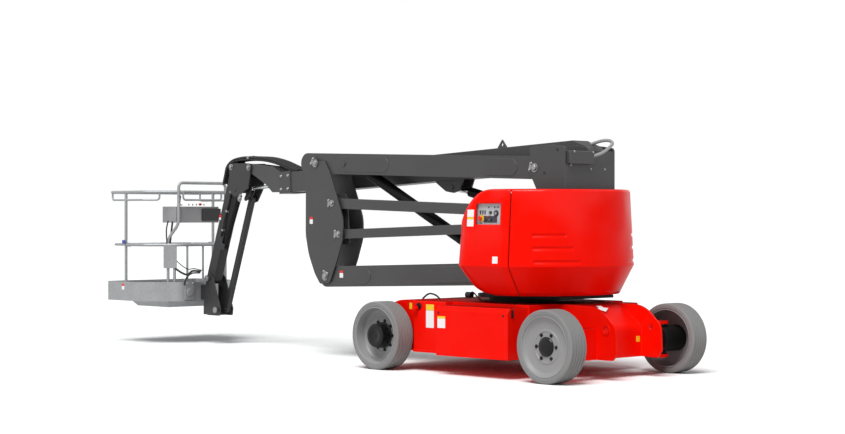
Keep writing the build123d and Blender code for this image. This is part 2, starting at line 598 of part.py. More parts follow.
def main_boom():
    """Outer boom: tapering box tube, pivot lug behind, cylinder lugs below, wear collar at the nose."""
    y = (BOOM_Y - BOOM_WIDTH / 2, BOOM_Y + BOOM_WIDTH / 2)
    inner = (y[0] + BOOM_WALL, y[1] - BOOM_WALL)
    boom = boom_box(y, BOOM_REAR, BOOM_STEP[0], BOOM_STEP[1], BOOM_NOSE, BOOM_DEPTH)
    hollow = [d - 2 * BOOM_WALL for d in BOOM_DEPTH]
    boom -= boom_box(inner, BOOM_REAR - 20, BOOM_STEP[0], BOOM_STEP[1], BOOM_NOSE - 20, hollow)
    c = boom_point(BOOM_REAR - 10)
    top, low = BOOM_DEPTH[0] / 2 - 1, 1 - BOOM_DEPTH[0] / 2
    lug = [(c[0], c[1] + top), (BOOM_PIVOT[0] + 10, BOOM_PIVOT[1] + 58), (BOOM_PIVOT[0] + 58, BOOM_PIVOT[1] - 6)]
    lug += [(BOOM_PIVOT[0], BOOM_PIVOT[1] - 62), (c[0] + 8, c[1] + low)]
    boom += round_slab(lug, [4, 40, 45, 45, 4], y)
    boom -= across(BOOM_PIVOT, PIN_RADIUS + BOND_GAP, (y[0] - 1, y[1] + 1))
    eye = 1.1 * CYLINDERS["boom_cylinder"][4] + 1.0
    for side in (-1, 1):
        ear = sorted((BOOM_Y + side * 62, BOOM_Y + side * 76))
        line = [(-1210, 1670), (-830, 1692), (-880, 1580), (-960, 1560), (-1060, 1575)]
        boom += round_slab(line, [10, 10, 30, 30, 30], ear)
        boom += across(PIN_G, 22.0, sorted((BOOM_Y + side * eye, BOOM_Y + side * 84)))
    collar = boom_box((y[0] - 10, y[1] + 10), BOOM_NOSE + 174, BOOM_NOSE + 170, BOOM_NOSE + 160, BOOM_NOSE, (220.0, 220.0))
    gap = (EXT_WIDTH / 2 + BOND_GAP, EXT_DEPTH + 2 * BOND_GAP)
    hole = boom_box((BOOM_Y - gap[0], BOOM_Y + gap[0]), BOOM_NOSE + 200, BOOM_NOSE + 170, BOOM_NOSE + 160, BOOM_NOSE - 20, (gap[1], gap[1]))
    boom += collar - hole
    t = boom_point(-331.0)
    lift = slab([(-390, t[1] + 118), (-272, t[1] + 122), (-331, t[1] + 195)], (y[0] + 4, y[0] + 18))
    return boom + (lift - across((-331, t[1] + 150), LIFT_HOLE, (y[0], y[0] + 30)))


def boom_extension():
    """Inner boom: square tube that slides in the outer one, with the two plates of the boom head."""
    y = (BOOM_Y - EXT_WIDTH / 2, BOOM_Y + EXT_WIDTH / 2)
    ext = boom_box(y, EXT_REAR, EXT_REAR - 10, EXT_REAR - 20, EXT_NOSE, (EXT_DEPTH, EXT_DEPTH))
    pad_y = (BOOM_Y - BOOM_WIDTH / 2 + BOOM_WALL + BOND_GAP, BOOM_Y + BOOM_WIDTH / 2 - BOOM_WALL - BOND_GAP)
    pad_z = BOOM_DEPTH[0] - 2 * BOOM_WALL - 2 * BOND_GAP
    ext += boom_box(pad_y, EXT_REAR, EXT_REAR - 10, EXT_REAR - 20, EXT_REAR - 80, (pad_z, pad_z))
    clear = EXT_DEPTH - 2 * BOOM_WALL
    bore = (y[0] + BOOM_WALL, y[1] - BOOM_WALL)
    ext -= boom_box(bore, EXT_REAR + 20, EXT_REAR - 10, EXT_REAR - 20, EXT_NOSE - 20, (clear, clear))
    line = [(-3942, 1850), (-3900, 1888), (-3530, 1850), (-3440, 1790), (-3425, 1590), (-3545, 1590), (-3640, 1665), (-3930, 1812)]
    for ear in ((y[0] - 12, y[0]), (y[1], y[1] + 12)):
        ext += round_slab(line, [25, 30, 60, 20, 10, 20, 60, 25], ear)
    ext += across(PIN_J, 22.0, (y[0] - 40, y[1] + 40))
    ext += across(PIN_Q, 16.0, (y[0] + 2, y[1] - 2))
    ext += slab([(-3700, 1862), (-3440, 1806), (-3440, 1794), (-3700, 1850)], (y[0] - 1, y[1] + 1))
    return ext


def jib_knuckle():
    """Levelled link between the boom head and the jib: outer plates, inner lugs and the pins between."""
    near = [(-4230, 1862), (-4165, 1893), (-3890, 1890), (-3868, 1850), (-3917, 1632), (-4124, 1546), (-4205, 1583)]
    far = near[:4] + [(-3925, 1620), (-4010, 1500), (-4060, 1488), (-4110, 1500), (-4205, 1583)]
    lanes = (BOOM_Y - 106, BOOM_Y - 94), (BOOM_Y + 94, BOOM_Y + 106)
    link = round_slab(near, [28, 28, 28, 28, 25, 25, 30], lanes[0])
    link += round_slab(far, [28, 28, 28, 28, 40, 20, 20, 20, 30], lanes[1])
    for y in lanes:
        link -= across(PIN_J, 22.0 + BOND_GAP, (y[0] - 1, y[1] + 1))
    for y in ((BOOM_Y - 30, BOOM_Y - 22), (BOOM_Y + 21, BOOM_Y + 29)):
        link += bar(PIN_J2, PIN_S, y, 46.0)
        link += across(PIN_J2, 23.0, y) + across(PIN_S, 26.0, y) + across(PIN_X, 20.0, y)
        link += bar(PIN_X, along(PIN_J2, heading(PIN_J2, PIN_S), 74.0), y, 36.0)
    link += across(PIN_J1, 20.0, (lanes[0][0] - 8, lanes[1][1] + 8))
    link += across(PIN_X, 15.0, (lanes[0][0] + 1, lanes[1][1] - 1))
    link += across(PIN_J2, 14.0, (BOOM_Y - 36, lanes[1][1] + 8))
    eye = 1.1 * CYLINDERS["jib_cylinder"][4] + 1.0
    link += across(PIN_K, 12.0, (lanes[0][0] - 6, CYLINDERS["jib_cylinder"][2] - eye))
    return link


def jib_beam():
    """Jib: square tube with round ends, and lugs on its inner face for the jib cylinder."""
    y = (BOOM_Y - JIB_WIDTH / 2, BOOM_Y + JIB_WIDTH / 2)
    beam = tube(PIN_J1, PIN_J3, y, JIB_DEPTH, 6.0)
    for pin in (PIN_J1, PIN_J3):
        beam += across(pin, JIB_DEPTH / 2, y)
        beam -= eye_hole(pin, 20.0 + BOND_GAP)
    for ear in ((y[0], y[0] + 6), (y[0] + 60, y[0] + 66)):
        a, b = along(PIN_M, JIB_ANGLE, -32.0, -24.0), along(PIN_M, JIB_ANGLE, 32.0, -24.0)
        beam += bar(a, b, ear, 84.0)
    beam += across(PIN_M, 12.0, (y[0] - 1, y[0] + 72))
    return beam


def jib_link():
    """Parallel link of the jib, a slim tube that keeps the basket level."""
    y = LINK_Y
    link = tube(PIN_J2, PIN_J4, y, LINK_SIZE, 5.0, before=-20.0, after=-20.0)
    for pin in (PIN_J2, PIN_J4):
        link += across(pin, 32.0, y)
        link -= eye_hole(pin, 14.0 + BOND_GAP)
    return link


def basket_mount():
    """Foot of the jib: two plates on the jib's lower pins, and the fixed half of the basket rotator."""
    line = [(-4664, 700), (-4611, 758), (-4545, 700), (-4420, 380), (-4430, 305), (-4640, 305), (-4668, 400)]
    lanes = (BOOM_Y - 74, BOOM_Y - 62), (BOOM_Y + 91, BOOM_Y + 103)
    foot = None
    for y in lanes:
        leaf = round_slab(line, [40, 30, 40, 30, 20, 20, 40], y)
        foot = leaf if foot is None else foot + leaf
    foot += across(PIN_J3, 20.0, (lanes[0][0] - 6, lanes[1][1] + 6))
    foot += across(PIN_J4, 14.0, (LINK_Y[0] - 6, lanes[1][1] + 6))
    foot += block((-4640, -4530), (lanes[0][0] + 1, lanes[1][1] - 1), (306, 320))
    foot += upright(ROTATOR_X, BOOM_Y, 62.0, (310, 402))
    foot += block((ROTATOR_X, -4630), (BOOM_Y - 62, BOOM_Y + 62), (310, 400))
    return foot


def rotator():
    """Turning half of the rotator: column and the arm that the basket hangs on."""
    column = upright(ROTATOR_X, BOOM_Y, 58.0, (402.0 + BOND_GAP, 622.0))
    arm = block((BASKET_IN + BOND_GAP, ROTATOR_X), (BOOM_Y - 43, BOOM_Y + 43), (470, 622))
    return column + arm


# ---- basket ---------------------------------------------------------------------------------------
def basket_plan(inset):
    """Plan corners of the basket, drawn in by an inset: square outside, bevelled towards the jib."""
    out, inn, half, cut = BASKET_OUT + inset, BASKET_IN - inset, BASKET_HALF - inset, BASKET_CORNER - inset * 0.6
    return [(out, -half), (inn - cut, -half), (inn, cut - half), (inn, half - cut), (inn - cut, half), (out, half)]


def basket_prism(inset, z):
    """Upright prism on the basket's plan."""
    corners = [(px, BOOM_Y + py, z[0]) for px, py in basket_plan(inset)]
    face = make_face(FilletPolyline(*corners, radius=[20, 120, 120, 120, 120, 20], close=True))
    return extrude(face, amount=z[1] - z[0], dir=(0, 0, 1))


def basket_floor():
    """Floor sheet, toe boards, the stiffening tray below, and the plate that bolts to the rotator."""
    floor = basket_prism(0.0, (FLOOR_Z, TOE_TOP)) - basket_prism(SHEET, (FLOOR_Z + SHEET, TOE_TOP + 1))
    tray_low = Pos(0, 0, TRAY_Z) * Rectangle(560, 700)
    tray_top = Pos(0, 0, FLOOR_Z) * Rectangle(660, 820)
    middle = (BASKET_OUT + BASKET_IN) / 2 + 30
    floor += Pos(middle, BOOM_Y, 0) * loft([tray_low, tray_top], ruled=True)
    return floor


def rail_loop(z, corners, radius):
    """Round tube carried along a line of plan corners at one height."""
    path = FilletPolyline(*[(px, BOOM_Y + py, z) for px, py in corners], radius=70.0)
    start = path.position_at(0)
    section = Plane(origin=start, z_dir=path.tangent_at(0)) * Circle(radius)
    return sweep(section, path=path)


def basket_rails():
    """Guard rails: top rail all round, mid rail on three sides, posts and the hoop over the console."""
    r = RAIL_RADIUS
    out, inn, half, cut = BASKET_OUT + r, BASKET_IN - r, BASKET_HALF - r, BASKET_CORNER
    ring = [(POST_X, -half), (inn - cut, -half), (inn, cut - half), (inn, half - cut), (inn - cut, half), (POST_X, half)]
    far = [(POST_X, -half), (out, -half), (out, half), (POST_X, half)]
    rails = rail_loop(TOP_RAIL_Z, ring, r) + rail_loop(TOP_RAIL_Z, far, r)
    rails += rail_loop(MID_RAIL_Z, ring, r)
    foot = FLOOR_Z + SHEET
    for side in (-1, 1):
        rails += upright(POST_X, BOOM_Y + side * (half - SHEET - BOND_GAP), r, (foot + BOND_GAP, TOP_RAIL_Z))
        knee = (inn - cut * 0.45, BOOM_Y + side * (half - cut * 0.55))
        rails += upright(knee[0] - 8, knee[1] - side * 8, r, (foot + BOND_GAP, TOP_RAIL_Z))
        pin = sorted((BOOM_Y + side * (GATE_HALF + r + BOND_GAP), BOOM_Y + side * (half - SHEET - r + 4)))
        rails += across((POST_X, MID_RAIL_Z), 12.0, pin)
    for y in (-206.0, 0.0, 206.0):
        rails += upright(inn - SHEET - BOND_GAP, BOOM_Y + y, 12.0, (foot + BOND_GAP, MID_RAIL_Z))
    low, high, x = foot + BOND_GAP, HOOP_Z, HOOP_X
    hoop = FilletPolyline((x, BOOM_Y - 290, low), (x, BOOM_Y - 290, high), (x, BOOM_Y + 290, high), (x, BOOM_Y + 290, low), radius=60.0)
    rails += sweep(Plane(origin=hoop.position_at(0), z_dir=hoop.tangent_at(0)) * Circle(r), path=hoop)
    return rails


def basket_gate():
    """U-shaped entry bar that lifts about its two ends on the outer posts."""
    r = RAIL_RADIUS - 2
    out = BASKET_OUT + RAIL_RADIUS
    gate = rail_loop(MID_RAIL_Z, [(POST_X, -GATE_HALF), (out, -GATE_HALF), (out, GATE_HALF), (POST_X, GATE_HALF)], r)
    for side in (-1, 1):
        y = sorted((BOOM_Y + side * (GATE_HALF - 14), BOOM_Y + side * (GATE_HALF + RAIL_RADIUS)))
        gate += across((POST_X, MID_RAIL_Z), 22.0, y)
    return gate


def basket_console():
    """Operator's control box on the inner rail."""
    x = HOOP_X - RAIL_RADIUS - BOND_GAP
    return block((x - 240, x), (BOOM_Y - 330, BOOM_Y + 230), (1280, 1450))


# ---- write every piece ------------------------------------------------------------------------------
os.makedirs("parts", exist_ok=True)
skin = cover_shell()
pieces = {
    "chassis_frame": chassis_frame(),
    "battery_box_right": battery_box(-1),
    "battery_box_left": battery_box(1),
    "front_axle": front_axle(),
    "steer_cylinder": steer_cylinder(),
    "tie_rod": tie_rod(),
    "rear_drive": rear_axle(),
    "slew_ring": upright(0, 0, RING_RADIUS, RING_Z),
    "turntable": turntable(),
    "turret_frame": turret_frame(),
    "counterweight": counterweight(),
    "tail_hood": tail_hood(skin),
    "ground_controls": ground_controls(),
    "lower_arm": lower_arm(),
    "lower_rod": tower_rod(PIN_D, PIN_P2, ROD_DEPTH[1]),
    "tower_knuckle": knuckle(),
    "upper_arm": upper_arm(),
    "upper_rod": tower_rod(PIN_C, PIN_T2, ROD_DEPTH[0]),
    "tower_head": tower_head(),
    "main_boom": main_boom(),
    "boom_extension": boom_extension(),
    "jib_knuckle": jib_knuckle(),
    "jib_beam": jib_beam(),
    "jib_link": jib_link(),
    "basket_mount": basket_mount(),
    "rotator": rotator(),
    "basket_floor": basket_floor(),
    "basket_rails": basket_rails(),
    "basket_gate": basket_gate(),
    "basket_console": basket_console(),
}
for side, name in ((-1, "right"), (1, "left")):
    pieces[f"steer_knuckle_{name}"] = steer_knuckle(side)
    pieces[f"side_cover_{name}"] = side_cover(skin, side)
    for x, end in ((WHEELBASE / 2, "front"), (-WHEELBASE / 2, "rear")):
        pieces[f"tyre_{end}_{name}"] = tyre(x, side)
        pieces[f"rim_{end}_{name}"] = rim(x, side, end)
for name, (a, b, y, radius, rod_radius, pin, length, rod_length) in CYLINDERS.items():
    pieces[f"{name}_barrel"] = barrel(a, b, y, radius, rod_radius, pin, length)
    pieces[f"{name}_rod"] = piston(a, b, y, rod_radius, rod_length)
for name, piece in pieces.items():
    export_step(Pos(SLEW_X, 0, 0) * piece, f"parts/{name}.step")
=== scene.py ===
import bpy
import numpy as np
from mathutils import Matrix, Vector


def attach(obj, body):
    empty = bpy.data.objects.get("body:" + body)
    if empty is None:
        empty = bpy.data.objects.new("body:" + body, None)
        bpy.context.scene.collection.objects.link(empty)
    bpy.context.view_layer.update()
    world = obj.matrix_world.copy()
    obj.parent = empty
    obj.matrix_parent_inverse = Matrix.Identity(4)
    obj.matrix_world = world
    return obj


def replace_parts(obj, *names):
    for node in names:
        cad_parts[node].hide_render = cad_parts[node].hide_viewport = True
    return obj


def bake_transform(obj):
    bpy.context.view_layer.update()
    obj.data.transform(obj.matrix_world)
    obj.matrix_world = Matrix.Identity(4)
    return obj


# An electric articulating boom lift, stowed on its four solid tyres: a steered chassis, a slewing turret
# with two lift-up side covers, a folded boom tower, a telescopic boom, a jib and a two-person basket.
# Metres, +X the steered end, +Y the left side, +Z up, z = 0 the ground.
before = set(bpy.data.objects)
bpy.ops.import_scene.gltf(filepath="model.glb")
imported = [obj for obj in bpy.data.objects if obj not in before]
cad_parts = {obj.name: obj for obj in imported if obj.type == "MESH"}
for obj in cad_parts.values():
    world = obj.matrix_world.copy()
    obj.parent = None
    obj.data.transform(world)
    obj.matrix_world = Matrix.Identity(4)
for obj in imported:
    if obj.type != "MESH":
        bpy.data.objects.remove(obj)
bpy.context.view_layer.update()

# ==== Ground, sky and lamps ====
# A pale floor runs out to the horizon and holds the machine's soft shadow. The sky and the floor meet
# in white, and one high sun with a wide disc gives the light and the soft edge of the shadow.
FLOOR_RADIUS, FLOOR_SIDES = 90, 48


def add(tree, kind, **values):
    """Adds one node. A value sets the input or property of that name, with _ for a space. A socket is linked,
    and a node stands for its first output."""
    node = tree.nodes.new("ShaderNode" + kind)
    for name, value in values.items():
        value = value.outputs[0] if isinstance(value, bpy.types.Node) else value
        plain = name.replace("_", " ")
        socket = node.inputs.get(plain) or (node.inputs[int(name[1:])] if name[1:].isdigit() else None)
        if socket is None:
            setattr(node, name, value)
        elif isinstance(value, bpy.types.NodeSocket):
            tree.links.new(value, socket)
        else:
            socket.default_value = value
    return node


def bare(name):
    """A new material that has no nodes yet, and its tree."""
    made = bpy.data.materials.new(name)
    made.use_nodes = True
    made.node_tree.nodes.clear()
    return made, made.node_tree


def shell(name, points, polygons, material, crease):
    """An object from points and polygons, sharp where two faces meet at more than the crease angle."""
    mesh = bpy.data.meshes.new(name)
    mesh.from_pydata(points, [], polygons)
    mesh.polygons.foreach_set("use_smooth", np.ones(len(mesh.polygons), bool))
    mesh.set_sharp_from_angle(angle=crease)
    mesh.materials.append(material)
    made = bpy.data.objects.new(name, mesh)
    bpy.context.collection.objects.link(made)
    return made


def disc(radius, count):
    """Outline of a circle, or of a regular figure with that many corners."""
    angle = np.linspace(0, 2 * np.pi, count, endpoint=False)
    return radius * np.stack([np.cos(angle), np.sin(angle)], 1)


# white to the camera, and greyer to the light that it sends back up
ground_paint, tree = bare("studio_floor")
seen = add(tree, "LightPath")
lit, bright = [add(tree, "BsdfDiffuse", Color=tone) for tone in ((0.8, 0.8, 0.8, 1), (1.0, 1.02, 1.02, 1))]
share = add(tree, "MixShader", Fac=seen.outputs["Is Camera Ray"], _1=lit, _2=bright)
add(tree, "OutputMaterial", Surface=share)
horizon = np.column_stack([disc(FLOOR_RADIUS, FLOOR_SIDES), np.zeros(FLOOR_SIDES)])
shell("studio_floor", horizon, [list(range(FLOOR_SIDES))], ground_paint, 0.5)

sky = bpy.data.worlds.new("studio_sky")
bpy.context.scene.world = sky
sky.use_nodes = True
sky.node_tree.nodes.clear()
tree = sky.node_tree
path = add(tree, "LightPath")
seen = path.outputs["Is Camera Ray"]
for other in ("Is Glossy Ray", "Is Transmission Ray"):
    seen = add(tree, "Math", operation="MAXIMUM", _0=seen, _1=path.outputs[other])
level = add(tree, "MapRange", Value=seen, To_Min=0.31, To_Max=1.0)
glow = add(tree, "Background", Color=(1, 1, 1, 1), Strength=level)
add(tree, "OutputWorld", Surface=glow)

sun = bpy.data.lights.new("high_sun", "SUN")
sun.energy = 3.1
sun.angle = 0.6
sun_stand = bpy.data.objects.new("high_sun", sun)
sun_stand.rotation_euler = Vector((-0.3, 0.6, -1.0)).to_track_quat("-Z", "Y").to_euler()
bpy.context.collection.objects.link(sun_stand)

# The turret turns about an upright axis at SLEW_X. The camera looks almost level at a place beside it.
SLEW_X = 2.2175
CAMERA_PLACE = np.array([SLEW_X + 10.965, -11.835, 1.348])
ASIDE = np.array([0.695, 0.719, 0.0])
AIM = np.array([SLEW_X, 0.0, 1.341]) - 0.903 * ASIDE
camera = bpy.data.cameras.new("camera")
camera.sensor_width = 36.0
camera.lens = 78.7
camera_stand = bpy.data.objects.new("camera", camera)
camera_stand.location = CAMERA_PLACE
camera_stand.rotation_euler = Vector(AIM - CAMERA_PLACE).to_track_quat("-Z", "Y").to_euler()
bpy.context.collection.objects.link(camera_stand)
bpy.context.scene.camera = camera_stand
bpy.context.scene.view_settings.view_transform = "Standard"

# ==== Painted steel of the chassis and the turret ====
# Welded plate and thin pressed covers, powder coated in a bright gloss red over a rounded, slightly
# uneven surface. The coat thins to a paler line along worn edges and takes a little road dust low down.


def group(name, inputs, outputs):
    """A new node group with named inputs and outputs, all numbers but the Normal, and its two end nodes."""
    tree = bpy.data.node_groups.new(name, "ShaderNodeTree")
    for way, labels in (("INPUT", inputs), ("OUTPUT", outputs)):
        for label in labels.split():
            kind = "NodeSocketVector" if label == "Normal" else "NodeSocketFloat"
            tree.interface.new_socket(label, in_out=way, socket_type=kind)
    return tree, tree.nodes.new("NodeGroupInput"), tree.nodes.new("NodeGroupOutput")


def times(tree, first, second):
    """One value of a material times another."""
    return add(tree, "Math", operation="MULTIPLY", _0=first, _1=second)


def cloud(tree, scale, detail, **more):
    """Soft noise over a piece's own coordinates, as a value."""
    places = add(tree, "TexCoord").outputs["Object"]
    return add(tree, "TexNoise", Vector=places, Scale=scale, Detail=detail, **more).outputs["Fac"]


# Edge wear: one less the product of the plain normal and the normal smoothed over a small radius, which is
# nothing on a flat face and grows at an edge, broken up by noise.
worn_edges, start, end = group("worn_edges", "Radius Amount", "Mask Normal")
soft = add(worn_edges, "Bevel", samples=4, Radius=start.outputs["Radius"])
plain = add(worn_edges, "NewGeometry")
same = add(worn_edges, "VectorMath", operation="DOT_PRODUCT", _0=soft, _1=plain.outputs["Normal"])
away = add(worn_edges, "Math", operation="SUBTRACT", _0=1.0, _1=same.outputs["Value"])
rough_line = times(worn_edges, away, cloud(worn_edges, 37.0, 4.0))
mask = add(worn_edges, "MapRange", Value=rough_line, From_Min=0.02, From_Max=0.12)
scaled = times(worn_edges, mask, start.outputs["Amount"])
worn_edges.links.new(scaled.outputs[0], end.inputs["Mask"])
worn_edges.links.new(soft.outputs[0], end.inputs["Normal"])

# Dust: a soft cloud of noise, thicker towards the ground.
road_dust, start, end = group("road_dust", "Height Amount", "Mask")
puffs = cloud(road_dust, 5.0, 6.0, Roughness=0.62)
parts = add(road_dust, "SeparateXYZ", Vector=add(road_dust, "TexCoord").outputs["Object"])
low = add(road_dust, "Math", operation="DIVIDE", _0=parts.outputs["Z"], _1=start.outputs["Height"])
fall = add(road_dust, "MapRange", Value=low, To_Min=1.0, To_Max=0.12)
level = add(road_dust, "MapRange", Value=puffs, From_Min=0.42, From_Max=0.75)
both = times(road_dust, fall, level)
scaled = times(road_dust, both, start.outputs["Amount"])
road_dust.links.new(scaled.outputs[0], end.inputs["Mask"])

# Coat: the fine orange-peel ripple of sprayed paint and a slow drift of its tone.
paint_skin, start, end = group("paint_skin", "Ripple Scale", "Height Tone")
ripple = cloud(paint_skin, start.outputs["Scale"], 2.0)
height = times(paint_skin, ripple, start.outputs["Ripple"])
paint_skin.links.new(height.outputs[0], end.inputs["Height"])
paint_skin.links.new(cloud(paint_skin, 2.3, 3.0), end.inputs["Tone"])


def placed(tree, made_group, **values):
    """Puts a node group into a tree with its own values."""
    node = tree.nodes.new("ShaderNodeGroup")
    node.node_tree = made_group
    for name, value in values.items():
        node.inputs[name].default_value = value
    return node


DUST_TONE = (0.36, 0.33, 0.3, 1)
# the share of the dark tone left where faces that look up take a painted shade
DECK_SHADE_TONE = 0.34


def painted(name, colour, dark, wear, rough, wear_amount=0.5, dust=0.3, gloss_level=0.5, deck=0.0, shine=0.0):
    """A sprayed coat: two tones that drift, a worn line at the edges, dust near the ground, a rippled gloss.
    One number is a neutral grey. Faces that look up are duller, and darker by the share deck, a painted
    shade. Shine is the share of a clear coat, in soft patches on the upper parts."""
    colour, dark, wear = [tone if isinstance(tone, tuple) else (tone,) * 3 for tone in (colour, dark, wear)]
    made, tree = bare(name)
    skin = placed(tree, paint_skin, Ripple=0.02, Scale=260.0)
    worn = placed(tree, worn_edges, Radius=0.004, Amount=wear_amount)
    dusty = placed(tree, road_dust, Height=1.1, Amount=dust)
    tone = add(tree, "MixRGB", Fac=skin.outputs["Tone"], Color1=(*dark, 1), Color2=(*colour, 1))
    edged = add(tree, "MixRGB", Fac=worn.outputs["Mask"], Color1=tone, Color2=(*wear, 1))
    dulled = add(tree, "MixRGB", Fac=dusty.outputs["Mask"], Color1=edged, Color2=DUST_TONE)
    facing = add(tree, "SeparateXYZ", Vector=add(tree, "NewGeometry").outputs["Normal"])
    flat_top = add(tree, "MapRange", Value=facing.outputs["Z"], From_Min=0.75, From_Max=0.97)
    # painted shade: faces that look up are mixed towards a deeper tone, as if shaded by the turret and booms
    deck_shade_mask = times(tree, flat_top, deck)
    deck_shade_colour = (*(DECK_SHADE_TONE * part for part in dark), 1)
    shaded = add(tree, "MixRGB", Fac=deck_shade_mask, Color1=dulled, Color2=deck_shade_colour)
    dry = add(tree, "Math", operation="MAXIMUM", _0=dusty.outputs["Mask"], _1=flat_top)
    gloss = add(tree, "MapRange", Value=dry, To_Min=rough, To_Max=min(rough + 0.4, 1.0))
    bump = add(tree, "Bump", Strength=0.35, Distance=0.001, Height=skin.outputs["Height"],
               Normal=worn.outputs["Normal"])
    shader = add(tree, "BsdfPrincipled", Base_Color=shaded, Roughness=gloss, Specular_IOR_Level=gloss_level,
                 Normal=bump)
    if shine:
        soft = add(tree, "MapRange", Value=cloud(tree, 1.9, 1.0), From_Min=0.44, From_Max=0.58)
        high = add(tree, "SeparateXYZ", Vector=add(tree, "TexCoord").outputs["Object"])
        above = add(tree, "MapRange", Value=high.outputs["Z"], From_Min=0.95, From_Max=1.4, To_Max=shine)
        share = times(tree, soft, above)
        tree.links.new(share.outputs[0], shader.inputs["Coat Weight"])
        shader.inputs["Coat Roughness"].default_value = 0.16
    add(tree, "OutputMaterial", Surface=shader)
    return made


def finish_nodes(names, material):
    """Gives every material slot of these pieces of the frame the one material."""
    for name in names.split():
        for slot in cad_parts[name].material_slots:
            slot.material = material


# deck=0.9 gives the red's faces that look up a painted shade
red_coat = painted("red_gloss_coat", (0.92, 0.005, 0.0), (0.84, 0.003, 0.0), (0.95, 0.1, 0.06), 0.3,
                   wear_amount=0.45, dust=0.02, gloss_level=0.06, deck=0.9, shine=0.35)
finish_nodes("chassis_frame battery_box_right battery_box_left side_cover_right side_cover_left tail_hood"
             " front_axle", red_coat)

# ==== Booms, tower and cast parts ====
# Box-section booms and plate knuckles in satin dark grey, black cylinders, counterweight and slewing table,
# and chromed cylinder rods with a fine honed grain.
grey_coat = painted("grey_satin_coat", (0.056, 0.056, 0.057), (0.036, 0.036, 0.037), 0.2, 0.42,
                    wear_amount=0.6, dust=0.04)
finish_nodes("lower_arm lower_rod tower_knuckle upper_arm upper_rod tower_head main_boom turret_frame",
             grey_coat)
jib_coat = painted("jib_satin_coat", (0.026, 0.026, 0.027), (0.016, 0.016, 0.017), 0.15, 0.4,
                   wear_amount=0.6, dust=0.04)
finish_nodes("jib_knuckle jib_beam jib_link basket_mount rotator", jib_coat)
nose_coat = painted("boom_nose_coat", (0.055, 0.055, 0.056), (0.04, 0.04, 0.041), 0.25, 0.36)
finish_nodes("boom_extension", nose_coat)
black_coat = painted("black_satin_coat", 0.008, 0.005, 0.08, 0.45, dust=0.0, gloss_level=0.15)
finish_nodes("turntable slew_ring rear_drive tie_rod steer_cylinder steer_knuckle_right steer_knuckle_left"
             " counterweight", black_coat)
LIFTS = ("tower", "boom", "level", "jib")
finish_nodes(" ".join(f"{lift}_cylinder_barrel" for lift in LIFTS), black_coat)

chrome_coat, tree = bare("cylinder_rod_chrome")
film = add(tree, "MapRange", Value=cloud(tree, 180.0, 3.0), To_Min=0.12, To_Max=0.26)
chrome = add(tree, "BsdfPrincipled", Base_Color=(0.72, 0.73, 0.74, 1), Metallic=1.0, Roughness=film)
add(tree, "OutputMaterial", Surface=chrome)
finish_nodes(" ".join(f"{lift}_cylinder_rod" for lift in LIFTS), chrome_coat)

# ==== Basket ====
# Bent and welded round tube with a sheet tray, hot-dip galvanised: a mottled, slightly bright zinc grey. Its
# console and the ground control box are grey plastic.
zinc_coat, tree = bare("galvanised_zinc")
spangle = add(tree, "TexVoronoi", Vector=add(tree, "TexCoord").outputs["Object"], Scale=70.0)
grains = add(tree, "MixRGB", Fac=0.35, Color1=cloud(tree, 6.0, 5.0), Color2=spangle.outputs["Color"])
grey_grain = add(tree, "RGBToBW", Color=grains)
tone = add(tree, "MixRGB", Fac=grey_grain, Color1=(0.25, 0.26, 0.27, 1), Color2=(0.42, 0.43, 0.44, 1))
worn = placed(tree, worn_edges, Radius=0.003, Amount=0.6)
edged = add(tree, "MixRGB", Fac=worn.outputs["Mask"], Color1=tone, Color2=(0.62, 0.63, 0.64, 1))
gloss = add(tree, "MapRange", Value=grey_grain, To_Min=0.34, To_Max=0.52)
galvanised = add(tree, "BsdfPrincipled", Base_Color=edged, Metallic=0.35, Roughness=gloss,
                 Normal=worn.outputs["Normal"])
add(tree, "OutputMaterial", Surface=galvanised)
finish_nodes("basket_floor basket_rails basket_gate", zinc_coat)

control_plastic = painted("control_box_plastic", (0.3, 0.3, 0.31), (0.26, 0.26, 0.27), (0.4, 0.4, 0.41),
                          0.5)
finish_nodes("basket_console ground_controls", control_plastic)

# ==== Wheels ====
# Solid non-marking tyres of pale grey rubber with five shallow grooves, pressed on welded steel rims.
# A black steered hub shows in the shallow front dish, and the drive gear's drum fills the deep rear one.
WHEEL_WIDTH, WHEEL_INNER, TYRE_RADIUS, BEAD, AXLE_X = 0.19, 0.685, 0.3, 0.252, 1.0
# facings: two directions that span a flat face, and whose cross product points out of it
LENGTHWAYS, SIDEWAYS, UPWARDS = np.eye(3)
NEAR, FAR = np.array([LENGTHWAYS, UPWARDS]), np.array([-LENGTHWAYS, UPWARDS])
AHEAD, UP = np.array([SIDEWAYS, UPWARDS]), np.array([LENGTHWAYS, SIDEWAYS])


def at(x, y, z):
    """A place measured from the turret's turning axis, in the frame's own coordinates."""
    return np.array([SLEW_X + x, y, z])


def grid_faces(rows, columns, close_rows=False):
    """Quads between the neighbours of a grid of points laid out row by row, its columns closed in a ring."""
    row, column = np.meshgrid(np.arange(rows if close_rows else rows - 1), np.arange(columns), indexing="ij")
    beside = (column + 1) % columns
    above = (row + 1) % rows * columns
    corners = [row * columns + column, row * columns + beside, above + beside, above + column]
    return np.stack(corners, -1).reshape(-1, 4)


def poles(rows, columns):
    """Triangles from a grid's first and last row to the two points that follow it."""
    step = np.arange(columns)
    beside = (step + 1) % columns
    pole, last = np.full(columns, rows * columns), (rows - 1) * columns
    return [np.stack([pole, beside, step], 1), np.stack([pole + 1, last + step, last + beside], 1)]


def volume(points, groups):
    """Signed volume inside a closed mesh: a sixth of a . (b x c) over each face's fan of triangles."""
    total = 0.0
    for faces in groups:
        for k in range(1, faces.shape[1] - 1):
            a, b, c = points[faces[:, 0]], points[faces[:, k]], points[faces[:, k + 1]]
            total += (a * np.cross(b, c)).sum() / 6
    return total


